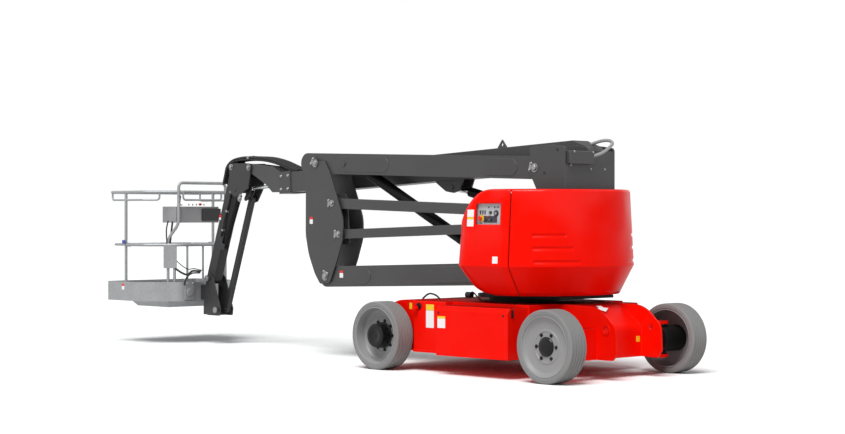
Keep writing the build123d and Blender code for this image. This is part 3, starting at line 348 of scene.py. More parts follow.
def piece(name, parts, material, body=None):
    """One mesh joined from closed parts, each with its faces turned outwards, that rides on a body if one is
    named."""
    places, polygons, base = [], [], 0
    for points, groups in parts:
        turned_round = -1 if volume(points - points.mean(0), groups) < 0 else 1
        for faces in groups:
            polygons += (faces[:, ::turned_round] + base).tolist()
        places.append(points)
        base += len(points)
    made = shell(name, np.concatenate(places), polygons, material, 0.6)
    if body:
        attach(made, body)
    return made


def turned(profile, place, facing, segments, ring=False):
    """A turned form about a facing's normal: pairs (along, radius) swung round to place + radius (u cos t +
    v sin t) + along n. It is a closed ring, or has a point on the axis at each end."""
    along, radius = np.asarray(profile, float).T
    normal = np.cross(*facing)
    points = place + radius[:, None, None] * (disc(1.0, segments) @ facing) + along[:, None, None] * normal
    points = points.reshape(-1, 3)
    groups = [grid_faces(len(along), segments, ring)]
    if not ring:
        groups += poles(len(along), segments)
        points = np.vstack([points, place + along[0] * normal, place + along[-1] * normal])
    return points, groups


def plate(outline, place, facing, depth, chamfer=0.0):
    """A plate: an outline on a facing, pushed out by the depth, with its outer edge drawn in by the chamfer.
    A corner draws in along the sum of its two edges' inward normals over one more than their dot product."""
    outline = np.asarray(outline, float)
    ahead = np.roll(outline, -1, 0) - outline
    inward = np.stack([-ahead[:, 1], ahead[:, 0]], 1) / np.linalg.norm(ahead, axis=1)[:, None]
    before = np.roll(inward, 1, 0)
    drawn = outline + chamfer * (inward + before) / (1 + (inward * before).sum(1))[:, None]
    layers = [(outline, 0.0), (drawn, depth)]
    if chamfer:
        layers.insert(1, (outline, depth - chamfer))
    points = [place + flat @ facing + lift * np.cross(*facing) for flat, lift in layers]
    count = len(outline)
    back = np.arange(count)[None]
    front = back + (len(layers) - 1) * count
    return np.concatenate(points), [grid_faces(len(layers), count), back[:, ::-1], front]


def oblong(width, height, corner):
    """Outline of a rectangle with round corners: a quarter circle about each corner's own centre."""
    arcs = []
    for k, signs in enumerate(((1, 1), (-1, 1), (-1, -1), (1, -1))):
        centre = np.array(signs) * (width / 2 - corner, height / 2 - corner)
        angle = (np.linspace(0, 1, 5) + k) * np.pi / 2
        arcs.append(centre + corner * np.stack([np.cos(angle), np.sin(angle)], 1))
    return np.concatenate(arcs)


def bolt(place, facing, radius):
    """Hexagon head on a washer, with a chamfered top."""
    head = plate(disc(radius, 6), place, facing, radius * 1.15, radius * 0.15)
    return [plate(disc(radius * 1.35, 20), place, facing, radius * 0.3, radius * 0.08), head]


rim_coat = painted("rim_grey_coat", (0.29, 0.29, 0.295), (0.23, 0.23, 0.235), 0.6, 0.38, dust=0.1)
tyre_rubber = painted("pale_tyre_rubber", 0.27, 0.18, 0.36, 0.8, dust=0.1, gloss_level=0.25)
hub_coat = painted("hub_black_gloss", 0.005, 0.004, 0.06, 0.14, wear_amount=0.3, dust=0.0, gloss_level=0.3)
# a profile's points are pairs: the distance out from the wheel's inner face, and the radius
tread = [(0.006, BEAD + 0.0005), (0.0005, 0.258), (0.0, 0.285), (0.003, 0.2935), (0.009, 0.2985)]
for groove in np.linspace(0.03, 0.16, 5):
    tread += [(groove - 0.004, 0.2995), (groove - 0.003, 0.2945)]
    tread += [(groove + 0.003, 0.2945), (groove + 0.004, 0.2995)]
tread += [(0.181, 0.2985), (0.187, 0.2935), (0.19, 0.285), (0.19, 0.281), (0.1885, 0.2795)]
tread += [(0.1885, 0.2755), (0.19, 0.274), (0.19, 0.262), (0.186, BEAD + 0.0005)]
front_hub = [(0.178, 0.03), (0.176, 0.055), (0.17, 0.072), (0.162, 0.0795), (0.15, 0.08), (0.149, 0.095),
             (0.154, 0.095)]
rear_hub = [(0.186, 0.02), (0.186, 0.05), (0.189, 0.056), (0.189, 0.09), (0.186, 0.1), (0.18, 0.104),
            (0.1, 0.104), (0.096, 0.116), (0.086, 0.116)]
NUT_RADIUS = 0.0115
# axle, recess of the dish, radius of the ring welded on it, hub, number of nuts and their circle
WHEELS = {"front": (AXLE_X, 0.035, 0.128, front_hub, 6, 0.107),
          "rear": (-AXLE_X, 0.103, 0.15, rear_hub, 9, 0.129)}
for end, (axle, recess, seat, hub, nuts, circle) in WHEELS.items():
    dish = WHEEL_WIDTH - recess
    outer = [(dish, 0.01), (dish, seat - 0.01), (dish + 0.004, seat - 0.006), (dish + 0.004, seat + 0.01)]
    outer += [(dish, seat + 0.014), (dish, 0.205), (dish + 0.006, 0.222), (dish + 0.02, 0.2335)]
    lip = [(0.178, 0.24), (0.187, 0.2425), (0.189, 0.2465), (0.187, 0.2515)]
    back = [(0.003, 0.2515), (0.001, 0.2465), (0.003, 0.2425), (0.012, 0.2405), (dish - 0.02, 0.2385)]
    back += [(dish - 0.012, 0.225), (dish - 0.012, 0.01)]
    for side, sign, facing in (("right", -1, NEAR), ("left", 1, FAR)):
        body = f"wheel_{end}_{side}"
        place = at(axle, sign * WHEEL_INNER, TYRE_RADIUS)
        tyre = piece(f"tread_{end}_{side}", [turned(tread, place, facing, 144, ring=True)], tyre_rubber, body)
        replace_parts(tyre, f"tyre_{end}_{side}")
        rim = piece(f"dish_{end}_{side}", [turned(outer + lip + back, place, facing, 96)], rim_coat, body)
        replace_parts(rim, f"rim_{end}_{side}")
        parts = [turned(hub, place, facing, 64)]
        for spot in place + disc(circle, nuts) @ facing + dish * np.cross(*facing):
            parts += bolt(spot, facing, NUT_RADIUS)
        piece(f"hub_{end}_{side}", parts, hub_coat, body)

# ==== Turret covers ====
# Three thin skins: a lift-up side cover each side of the booms, its front rounded into the roof, and a hood
# round the tail with three pressed ribs on each flank. They lean in above a crease and turn under below it.
COVER_HALF, COVER_NOSE, COVER_TAIL = 0.78, -0.17, 0.96
COVER_FOOT, COVER_CREASE, COVER_TOP = 0.684, 0.93, 1.575
COVER_UNDERCUT, COVER_DRAW, COVER_EDGE = 0.13, 0.034, 0.03
FOOT_ROUND, BROW_ROUND, CORNER_ROUND, CORNER_LOSS = 0.29, 0.42, 0.2, 0.12
SEAM_X, SEAM_GAP, ARC_X = 0.5, 0.006, 0.45
SLOT_HALF, SLOT_END = 0.352, 0.79
PANEL_EDGES, PANEL_LEVELS = (0.128, 0.411), (1.279, 1.453)
FACE_STEPS, CORNER_STEPS, LEAD_STEPS, PANEL_STEPS = 6, 11, 5, 8
SKIN = 0.01


def drawn_in(z):
    """How far the skin lies inside the crease line at a height: straight flanks, then a quarter circle."""
    roof_edge = COVER_TOP - COVER_EDGE
    flank = np.interp(z, [COVER_FOOT, COVER_CREASE, roof_edge], [COVER_UNDERCUT, 0.0, COVER_DRAW])
    rise = np.maximum(z - roof_edge, 0.0)
    return flank + COVER_EDGE - np.sqrt(np.maximum(COVER_EDGE**2 - rise**2, 0.0))


def tail_arc(draw):
    """Radius and middle of the tail's arc, through both flanks at ARC_X and through the tail's end."""
    half, sag = COVER_HALF - draw, COVER_TAIL - draw - ARC_X
    radius = (half**2 + sag**2) / (2 * sag)
    return radius, ARC_X + sag - radius


def skin_sheet(name, points, roof, material, body, hole=None):
    """A sheet over a grid of points from the foot up, with a flat roof polygon and an even wall inside."""
    rows, columns = points.shape[:2]
    faces = grid_faces(rows, columns).reshape(rows - 1, columns, 4)[:, :-1]
    if hole is not None:
        faces = faces[~hole]
    faces = faces.reshape(-1, 4)
    flat = points.reshape(-1, 3)
    first, beside, above = flat[faces[:, 0]], flat[faces[:, 1]], flat[faces[:, 3]]
    outward = (np.cross(beside - first, above - first) * (first - flat.mean(0))).sum() > 0
    way = 1 if outward else -1
    top = list(range((rows - 1) * columns, rows * columns + len(roof)))
    made = shell(name, np.vstack([flat, roof]), faces[:, ::way].tolist() + [top[::way]], material, 0.5)
    wall = made.modifiers.new("wall", "SOLIDIFY")
    wall.thickness = SKIN
    wall.offset = -1.0
    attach(made, body)
    return made


def span(first, last, steps):
    """For each row, evenly spaced places from its first to its last."""
    share = np.linspace(0, 1, steps)
    return first[:, None] * (1 - share) + last[:, None] * share


def up(*stops):
    """Heights in even steps from stop to stop, then up the quarter circle of the roof's edge. A stop is a
    height and the number of steps to the next one."""
    runs = []
    for (low, steps), (high, _) in zip(stops, stops[1:]):
        runs.append(np.linspace(low, high, steps, endpoint=False))
    roof_edge = COVER_TOP - COVER_EDGE * (1 - np.sin(np.linspace(0, np.pi / 2, 9)))
    return np.concatenate(runs + [roof_edge])


# The side covers' front curves back at the foot and again up into the roof. Each row of a skin runs along the
# front face, round the corner and back along the flank to the seam with the hood.
z = up((COVER_FOOT, 11), (COVER_CREASE, 5), (1.155, 4), (PANEL_LEVELS[0], 7), (PANEL_LEVELS[1], 6),
       (COVER_TOP - COVER_EDGE, 0))
draw = drawn_in(z)
below = np.clip(COVER_FOOT + FOOT_ROUND - z, 0, FOOT_ROUND)
above = np.clip(z - COVER_TOP + BROW_ROUND, 0, BROW_ROUND)
foot_back = FOOT_ROUND - np.sqrt(FOOT_ROUND**2 - below**2)
brow_back = BROW_ROUND - np.sqrt(BROW_ROUND**2 - above**2)
front = np.maximum(COVER_NOSE + draw, COVER_NOSE - 0.005 + np.maximum(foot_back, brow_back))
corner = CORNER_ROUND - CORNER_LOSS * np.clip(brow_back / BROW_ROUND, 0, 1)
half = COVER_HALF - draw
start = front + corner
left = np.maximum(PANEL_EDGES[0], start + 0.02)
right = np.full_like(z, PANEL_EDGES[1])
seam = np.full_like(z, SEAM_X - SEAM_GAP / 2)
swing = np.linspace(0, np.pi / 2, CORNER_STEPS + 2)[1:-1]
face_y = span(np.full_like(z, SLOT_HALF), half - corner, FACE_STEPS)
arc_x = start[:, None] - corner[:, None] * np.cos(swing)
arc_y = (half - corner)[:, None] + corner[:, None] * np.sin(swing)
flank_x = np.hstack([span(start, left, LEAD_STEPS + 1)[:, :-1], span(left, right, PANEL_STEPS + 1)[:, :-1],
                     span(right, seam, 6)])
radius, middle = tail_arc(draw)
flank_y = np.minimum(half[:, None], np.sqrt(radius[:, None]**2 - (flank_x - middle[:, None])**2))
line_x = np.hstack([np.repeat(front[:, None], FACE_STEPS, 1), arc_x, flank_x])
line_y = np.hstack([face_y, arc_y, flank_y])
line_z = np.repeat(z[:, None], line_x.shape[1], 1)
between_rows = (z[:-1] > PANEL_LEVELS[0] - 1e-6) & (z[1:] < PANEL_LEVELS[1] + 1e-6)
column = np.arange(line_x.shape[1] - 1) - FACE_STEPS - CORNER_STEPS - LEAD_STEPS
opening = between_rows[:, None] & (column >= 0) & (column < PANEL_STEPS)
for side, sign in (("right", -1), ("left", 1)):
    points = np.stack([SLEW_X + line_x, sign * line_y, line_z], -1)
    roof = [at(SEAM_X - SEAM_GAP / 2, sign * SLOT_HALF, COVER_TOP)]
    hole = opening if side == "right" else None
    skin = skin_sheet(f"cover_skin_{side}", points, roof, red_coat, f"cover_{side}", hole)
    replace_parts(skin, f"side_cover_{side}")

# The tail hood goes round the arc from seam to seam. Each rib is a dent with a round section and round ends,
# given by its height and two angles from the middle line.
RIBS = ((1.188, 30.2, 48.6), (1.08, 26.2, 48.6), (0.968, 22.1, 47.6))
RIB_DEPTH, RIB_HALF, HOOD_STEPS = 0.009, 0.017, 241
seam_x = SEAM_X + SEAM_GAP / 2
z = up((COVER_FOOT, 7), (COVER_CREASE, 62), (1.24, 7), (COVER_TOP - COVER_EDGE, 0))
radius, middle = tail_arc(drawn_in(z))
reach = np.arccos((seam_x - middle) / radius)
angle = span(-reach, reach, HOOD_STEPS)
pressed = np.zeros_like(angle)
for height, first, last in RIBS:
    past = np.abs(np.degrees(np.abs(angle)) - (first + last) / 2) - (last - first) / 2
    beyond = np.maximum(np.radians(past), 0) * radius[:, None]
    away = np.hypot(beyond, (z - height)[:, None]) / RIB_HALF
    pressed += RIB_DEPTH * np.maximum(1 - away**2, 0)
out = radius[:, None] - pressed
points = np.stack([SLEW_X + middle[:, None] + out * np.cos(angle), out * np.sin(angle),
                   np.repeat(z[:, None], HOOD_STEPS, 1)], -1)
slot = ((seam_x, SLOT_HALF), (SLOT_END, SLOT_HALF), (SLOT_END, -SLOT_HALF), (seam_x, -SLOT_HALF))
roof = [at(x, y, COVER_TOP) for x, y in slot]
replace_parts(skin_sheet("hood_skin", points, roof, red_coat, "turret"), "tail_hood")

# ==== Ground control panel ====
# A pale moulded panel behind the opening of the right cover: toggle switches under small guards, a key
# switch, an hour meter in a black ring and a red stop button on a yellow disc.
PANEL_BACK, PANEL_WALL = -0.712, 0.013
TOGGLES_X, GUARDED_X, LAMPS_X = (0.154, 0.181, 0.207), (0.214, 0.276), (0.25, 0.318, 0.355)
STOP, METER, KEY, BUTTON = (0.163, 1.33), (0.336, 1.372), (0.272, 1.378), (0.238, 1.344)


def moulded(name, colour, dark, wear, rough):
    """Plastic or vinyl that keeps clean: a painted finish with no dust."""
    return painted(name, colour, dark, wear, rough, dust=0.0)


panel_grey = moulded("panel_pale_plastic", (0.5, 0.51, 0.53), (0.45, 0.46, 0.48), (0.55, 0.55, 0.56), 0.45)
label_grey = moulded("panel_dark_label", (0.045, 0.045, 0.055), (0.03, 0.03, 0.04), 0.1, 0.5)
switch_black = moulded("switch_black_plastic", (0.012, 0.012, 0.013), (0.009, 0.009, 0.01), 0.05, 0.35)
stop_red = moulded("stop_button_red", (0.8, 0.01, 0.008), (0.7, 0.008, 0.006), (0.85, 0.08, 0.06), 0.25)
signal_yellow = moulded("signal_yellow", (0.85, 0.62, 0.02), (0.8, 0.55, 0.02), (0.88, 0.7, 0.2), 0.4)
blank_white = moulded("blank_label_white", 0.86, 0.8, 0.7, 0.5)
bright_zinc, tree = bare("zinc_plated_steel")
bloom = cloud(tree, 90.0, 4.0)
tone = add(tree, "MixRGB", Fac=bloom, Color1=(0.22, 0.22, 0.23, 1), Color2=(0.44, 0.44, 0.45, 1))
film = add(tree, "MapRange", Value=bloom, To_Min=0.28, To_Max=0.46)
plated = add(tree, "BsdfPrincipled", Base_Color=tone, Metallic=0.9, Roughness=film)
add(tree, "OutputMaterial", Surface=plated)


def on_face(x, z, lift=0.0):
    """A place on the panel's face, or a lift nearer to the camera."""
    return at(x, PANEL_BACK - PANEL_WALL - lift, z)


def on_panel(profile, spots, segments):
    """The same turned form at each x, z of the spots on the panel's face."""
    return [turned(profile, on_face(x, z), NEAR, segments) for x, z in spots]


face = plate(oblong(0.345, 0.19, 0.018), at(0.2575, PANEL_BACK, 1.364), NEAR, PANEL_WALL, 0.001)
shade = plate(oblong(0.158, 0.056, 0.006), on_face(0.266, 1.322), NEAR, 0.0008)
dark = [plate(oblong(0.011, 0.034, 0.004), on_face(x, 1.381), NEAR, 0.004, 0.001) for x in TOGGLES_X]
dark += on_panel([(0.004, 0.003), (0.004, 0.006), (0.0, 0.006)], [(x, 1.422) for x in LAMPS_X], 20)
dark += on_panel([(0.01, 0.004), (0.01, 0.007), (0.0, 0.009)], [(x, 1.318) for x in GUARDED_X], 20)
dark += on_panel([(0.01, 0.013), (0.012, 0.019), (0.008, 0.025), (0.0, 0.026)], [METER], 40)
dark += on_panel([(0.012, 0.004), (0.012, 0.01), (0.0, 0.013)], [KEY], 24)
bright = on_panel([(0.022, 0.002), (0.021, 0.004), (0.003, 0.002)], [(x, 1.386) for x in TOGGLES_X], 12)
bright += on_panel([(0.026, 0.002), (0.025, 0.004), (0.009, 0.002)], [(x, 1.32) for x in GUARDED_X], 12)
bright.append(plate(oblong(0.01, 0.024, 0.004), on_face(0.262, 1.378, 0.012), NEAR, 0.002, 0.0005))
bright += on_panel([(0.012, 0.009), (0.0118, 0.0125), (0.009, 0.0125)], [METER], 32)
ring = on_panel([(0.003, 0.018), (0.003, 0.029), (0.0, 0.03)], [STOP], 40)
mushroom = [(0.03, 0.01), (0.028, 0.017), (0.023, 0.0205), (0.018, 0.02), (0.014, 0.011), (0.002, 0.01)]
stop = on_panel(mushroom, [STOP], 40) + on_panel([(0.006, 0.003), (0.005, 0.006), (0.0, 0.006)], [BUTTON], 20)
piece("panel_face", [face], panel_grey, "turret")
piece("panel_label", [shade], label_grey, "turret")
piece("panel_switch_bodies", dark, switch_black, "turret")
piece("panel_bright_parts", bright, bright_zinc, "turret")
piece("stop_ring", ring, signal_yellow, "turret")
piece("stop_button", stop, stop_red, "turret")

# ==== Rear skirts ====
# A flat painted plate stands out from each side of the chassis behind the battery locker, with its lower edge
# folded out into a narrow lip.
SKIRT_X, SKIRT_FACE = -0.489, 0.7
SKIRT_SHAPE = [(-0.201, -0.223), (0.201, -0.223), (0.201, 0.223), (-0.201, 0.223)]
for side, wall, facing in (("right", -1, NEAR), ("left", 1, FAR)):
    skirt = plate(SKIRT_SHAPE, at(SKIRT_X, wall * (SKIRT_FACE - 0.06), 0.389), facing, 0.06, 0.006)
    lip = plate(oblong(0.402, 0.022, 0.004), at(SKIRT_X, wall * SKIRT_FACE, 0.18), facing, 0.008, 0.002)
    piece(f"chassis_skirt_{side}", [skirt, lip], red_coat, "chassis")

# ==== Blank plates and the travel arrow ====
# Thin vinyl labels on the covers, the chassis, the tower and the jib, left blank, and a white arrow
# that follows the round front of the deck and points to the steered end.
LABEL = 0.0006
COVER_LEAN = COVER_DRAW / (COVER_TOP - COVER_EDGE - COVER_CREASE)
SKIRT_Y, BOX_Y, SIDE_Y, JIB_Y = -0.7002, -0.8422, -0.6402, 0.0848
lean = np.array([LENGTHWAYS, (0.0, COVER_LEAN, 1.0) / np.hypot(COVER_LEAN, 1.0)])


def label(x, z, width, height, y=None):
    """A thin label whose middle lies at x, z on the near face at y, or on the near cover's leaning flank."""
    facing = NEAR if y else lean
    y = y or COVER_LEAN * (z - COVER_CREASE) - COVER_HALF
    return plate(oblong(width, height, 0.004), at(x, y, z), facing, LABEL)


def banded_label(name, body, x, z, band_z, width, height, y):
    """A blank white label and, as a piece of its own, the red band over it at half its height."""
    piece(f"{name}_label", [label(x, z, width, height, y)], blank_white, body)
    piece(f"{name}_label_band", [label(x, band_z, width, height / 2, y)], stop_red, body)


cover_labels = [label(0.066, 1.372, 0.078, 0.062), label(0.066, 1.292, 0.078, 0.06)]
cover_labels.append(label(0.368, 0.984, 0.062, 0.058))
piece("cover_labels", cover_labels, blank_white, "cover_right")
piece("cover_label_band", [label(0.066, 1.331, 0.078, 0.016)], signal_yellow, "cover_right")
chassis_labels = [label(-0.482, 0.458, 0.098, 0.15, SKIRT_Y), label(-0.198, 0.44, 0.094, 0.08, BOX_Y)]
piece("chassis_labels", chassis_labels, blank_white, "chassis")
bands = [label(-0.482, 0.56, 0.098, 0.05, SKIRT_Y), label(-0.198, 0.49, 0.094, 0.02, BOX_Y)]
bands += [label(-0.785, 0.56, 0.034, 0.055, SIDE_Y)]
bands += [plate(oblong(0.048, 0.048, 0.004), at(1.0602, 0.236, 0.318), AHEAD, LABEL)]
piece("chassis_label_bands", bands, signal_yellow, "chassis")
piece("jib_label_lower", [label(-4.446, 1.322, 0.034, 0.026, JIB_Y)], blank_white, "jib_beam")
piece("jib_label_upper", [label(-4.438, 1.35, 0.034, 0.026, JIB_Y)], stop_red, "jib_beam")
banded_label("knuckle", "tower_knuckle", -2.52, 1.296, 1.33, 0.046, 0.044, -0.3052)
banded_label("arm", "lower_arm", -2.108, 0.79, 0.824, 0.05, 0.044, -0.2842)

# the deck's front is level, then an arc that turns down, and the arrow lies on the arc
DECK_X, DECK_Z, DECK_ROUND = 0.7655, 0.608, 0.26
ARROW_Y, ARROW_STEPS, ARROW_CLEAR = -0.024, 9, 0.0004
swing = np.radians(np.linspace(18, 39, ARROW_STEPS))
share = np.linspace(0, 1, ARROW_STEPS)
half = np.where(share < 0.5, 0.03, 0.16 * (1 - share))
corners = []
for edge, lift in ((-1, 0.0), (1, 0.0), (1, LABEL), (-1, LABEL)):
    reach = DECK_ROUND + ARROW_CLEAR + lift
    spine = np.stack([reach * np.sin(swing), edge * half, reach * np.cos(swing)], 1)
    corners.append(spine + at(DECK_X, ARROW_Y, DECK_Z - DECK_ROUND))
arrow = np.stack(corners, 1).reshape(-1, 3), [grid_faces(ARROW_STEPS, 4), np.array([[3, 2, 1, 0]])]
piece("travel_arrow", [arrow], blank_white, "chassis")

# ==== Pins, bolts and doubler plates ====
# Every pivot pin ends in a plated washer, and most have a keeper bolted beside it. Doubler plates are welded
# along the arms' flanks, and the boom's wear collar is held by four bolts.
UPPER_ARM_PIN, UPPER_ROD_PIN, HEAD_PIN = (-2.457, 1.853), (-2.222, 1.47), (0.391, 1.7575)
LOWER_ROD_PIN, LOWER_ARM_PIN = (-2.131, 1.178), (-2.32, 0.773)
JIB_PINS, FOOT_PINS = ((-4.193, 1.857), (-4.049, 1.528), (-3.904, 1.848)), ((-4.611, 0.695), (-4.467, 0.366))
KNUCKLE_Y, JIB_PLATE_Y = -0.305, 0.034


def turned_by(angle):
    """Two rows: the direction at an angle in a face, and the one square to it."""
    return np.array([[np.cos(angle), np.sin(angle)], [-np.sin(angle), np.cos(angle)]])


def pin_end(spot, y, radius, keeper=None, cap=0.017):
    """Washer, chamfered cap and, at an angle, the keeper plate of a pin that ends on the near face at y."""
    x, z = spot
    parts = [turned([(0.005, radius), (0.005, radius + 0.013), (0.0, radius + 0.014)], at(x, y, z), NEAR, 40)]
    head = [(cap, 0.004), (cap, radius - 0.004), (cap - 0.003, radius), (0.0, radius)]
    parts.append(turned(head, at(x, y, z), NEAR, 40))
    if keeper is not None:
        way, across = facing = turned_by(keeper) @ NEAR
        middle = at(x, y, z) + way * (radius + 0.018)
        parts.append(plate(oblong(0.026, 0.08, 0.008), middle, facing, 0.01, 0.001))
        for end in (-0.027, 0.027):
            parts += bolt(middle + end * across - 0.01 * SIDEWAYS, NEAR, 0.008)
    return parts


knuckle_pins = pin_end(UPPER_ARM_PIN, KNUCKLE_Y - 0.006, 0.025, 2.6)
knuckle_pins += pin_end(LOWER_ARM_PIN, KNUCKLE_Y, 0.025, 1.2)
for spot in (UPPER_ROD_PIN, LOWER_ROD_PIN):
    knuckle_pins += pin_end(spot, KNUCKLE_Y, 0.02, 3.1)
piece("knuckle_pin_ends", knuckle_pins, bright_zinc, "tower_knuckle")
piece("head_pin_end", pin_end(HEAD_PIN, -0.318, 0.025, 2.9), bright_zinc, "tower_head")
jib_pins = sum([pin_end(spot, JIB_PLATE_Y, 0.018) for spot in JIB_PINS], [])
piece("jib_knuckle_pin_ends", jib_pins, bright_zinc, "jib_knuckle")
foot_pins = sum([pin_end(spot, JIB_PLATE_Y, 0.018, cap=0.008) for spot in FOOT_PINS], [])
piece("jib_foot_pin_ends", foot_pins, bright_zinc, "basket_mount")

BOOM_SLOPE = 0.0487
collar_bolts = []
for x in (-3.375, -3.27):
    for z in (1.62, 1.752):
        collar_bolts += bolt(at(x, 0.03, z + BOOM_SLOPE * (x + 3.32)), NEAR, 0.012)
piece("collar_bolts", collar_bolts, bright_zinc, "main_boom")

ARM_TILT, ARM_Y = np.radians(1.92), -0.284
DOUBLER_HALF, DOUBLER_POINT = 0.075, 0.05


def doubler(pin, tilt, first, last):
    """A plate welded on an arm's near flank, pointed at both ends. Its outline is given along and across the
    arm from a pin, and turned by the arm's tilt."""
    half, shoulder = DOUBLER_HALF, DOUBLER_HALF - DOUBLER_POINT
    near, far = first + DOUBLER_POINT, last - DOUBLER_POINT
    shape = [(first, -shoulder), (near, -half), (far, -half), (last, -shoulder),
             (last, shoulder), (far, half), (near, half), (first, shoulder)]
    return plate(np.array(shape) @ turned_by(tilt) + pin, at(0, ARM_Y, 0), NEAR, 0.0035, 0.0025)


upper_plates = [doubler(UPPER_ARM_PIN, -ARM_TILT, *ends) for ends in ((0.3, 1.00), (2.2, 2.62))]
piece("upper_doubler", upper_plates, grey_coat, "upper_arm")
lower_plates = [doubler(LOWER_ARM_PIN, ARM_TILT, *ends) for ends in ((0.36, 0.62), (1.39, 2.1))]
piece("lower_doubler", lower_plates, grey_coat, "lower_arm")

# ==== Small fittings of the chassis ====
# Two screws and a hook latch hold the battery locker shut. A red knob and a black cap stand on the right
# skirt, and a welded ring stiffens the lashing hole in each cheek of the nose.
fittings = bolt(at(-0.233, -0.842, 0.529), NEAR, 0.007) + bolt(at(0.522, -0.842, 0.529), NEAR, 0.007)
fittings.append(plate(oblong(0.02, 0.07, 0.006), at(0.575, -0.79, 0.545), AHEAD, 0.012, 0.003))
black_cap = [(0.008, 0.01), (0.008, 0.028), (0.0, 0.03)]
fittings.append(turned(black_cap, at(-0.618, -SKIRT_FACE, 0.566), NEAR, 24))
piece("chassis_fittings", fittings, black_coat, "chassis")
knob = [(0.05, 0.006), (0.046, 0.02), (0.012, 0.024), (0.0, 0.012)]
red_parts = [turned(knob, at(-0.64, -SKIRT_FACE, 0.548), NEAR, 24)]
for side, facing in ((-1, NEAR), (1, FAR)):
    lash_ring = [(0.006, 0.03), (0.006, 0.042), (0.0, 0.044), (0.0, 0.03)]
    red_parts.append(turned(lash_ring, at(1.165, side * 0.3, 0.42), facing, 32, ring=True))
piece("chassis_knob", red_parts, red_coat, "chassis")

# ==== Hoses and cables ====
# Black rubber hoses lie over the boom's head and down beside the jib, held by plated clips, and black cables
# run from the jib's foot to the basket and its console. Where they cross a joint they follow a fixed curve. A
# loop of cable and a plugged lead lie on the deck.
BOOM_Y = 0.14


def smooth_path(points):
    """A path through the points: on each span the cubic whose end slopes are half the neighbours' chord."""
    p = np.asarray(points, float)
    p = np.vstack([2 * p[0] - p[1], p, 2 * p[-1] - p[-2]])
    t = np.linspace(0, 1, 9, endpoint=False)[:, None, None]
    a, b, c, d = p[:-3], p[1:-2], p[2:-1], p[3:]
    spans = 0.5 * (2 * b + (c - a) * t + (2 * a - 5 * b + 4 * c - d) * t**2 + (3 * b - a - 3 * c + d) * t**3)
    return np.vstack([spans.transpose(1, 0, 2).reshape(-1, 3), p[-2]])


def tube(path, radius, sides=12, flat=None):
    """A round tube along a path: a circle at each point, square to the path's slope, on a side vector square
    to a flat direction, by default the one most square to all the slopes, and a point at both ends."""
    slope = np.gradient(path, axis=0)
    slope /= np.linalg.norm(slope, axis=1)[:, None]
    if flat is None:
        flat = np.linalg.svd(slope)[2][2]
    side = np.cross(slope, flat)
    side /= np.linalg.norm(side, axis=1)[:, None]
    rings = path[:, None] + disc(radius, sides) @ np.stack([side, np.cross(slope, side)], 1)
    points = np.vstack([rings.reshape(-1, 3), path[0], path[-1]])
    return points, [grid_faces(len(path), sides)] + poles(len(path), sides)


def hose(route, radius):
    """A hose on a smooth path through given points, measured from the turret's turning axis."""
    return tube(smooth_path(np.array(route) + at(0, 0, 0)), radius)


def bent(points, radius):
    """A bent tube's path: straight runs, joined at each inner point by a parabola that starts and ends a
    radius away from it."""
    p = np.asarray(points, float)
    back, ahead = p[:-2] - p[1:-1], p[2:] - p[1:-1]
    back = p[1:-1] + radius * back / np.linalg.norm(back, axis=1)[:, None]
    ahead = p[1:-1] + radius * ahead / np.linalg.norm(ahead, axis=1)[:, None]
    share = np.linspace(0, 1, 7)[None, :, None]
    left = 1 - share
    arcs = left**2 * back[:, None] + 2 * share * left * p[1:-1, None] + share**2 * ahead[:, None]
    return np.vstack([p[:1], arcs.reshape(-1, 3), p[-1:]])


hose_rubber = painted("hose_black_rubber", (0.016, 0.016, 0.017), (0.01, 0.01, 0.011), 0.05, 0.5,
                      dust=0.0, gloss_level=0.35)
HEAD_CLAMP, CLAMP_Z = -3.95, 1.95
OVER_HEAD = [(-3.18, 1.8), (-3.34, 1.852), (-3.5, 1.9), (-3.7, 1.936), (HEAD_CLAMP, CLAMP_Z)]
DOWN_NECK = [(HEAD_CLAMP, CLAMP_Z), (-4.1, 1.946), (-4.22, 1.926), (-4.312, 1.866), (-4.345, 1.78),
             (-4.372, 1.7)]
head_hoses, neck_hoses = [], []
for k, y in enumerate(np.tile(np.linspace(0.075, 0.205, 6), 2)):
    rise = 0.007 * (k % 2) - 0.02 * (k // 6)
    head_hoses.append(hose([(x, y, z + rise) for x, z in OVER_HEAD], 0.0115))
    neck_hoses.append(hose([(x, y, z + rise) for x, z in DOWN_NECK], 0.0115))
head_bundle = piece("head_hoses", head_hoses, hose_rubber)
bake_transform(head_bundle)
neck_bundle = piece("neck_hoses", neck_hoses, hose_rubber)
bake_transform(neck_bundle)
clamp = plate(oblong(0.03, 0.17, 0.004), at(HEAD_CLAMP, BOOM_Y, 1.936), UP, 0.03, 0.003)
piece("head_clamp", [clamp] + bolt(at(HEAD_CLAMP, BOOM_Y, 1.966), UP, 0.007), bright_zinc, "jib_knuckle")

JIB_LEAN = np.radians(19.8)


def along_jib(distance, ahead, y):
    """A place down the jib from its upper pin, and a distance ahead of its middle line."""
    x, z = np.array([ahead, -distance]) @ turned_by(-JIB_LEAN) + JIB_PINS[0]
    return x, y, z


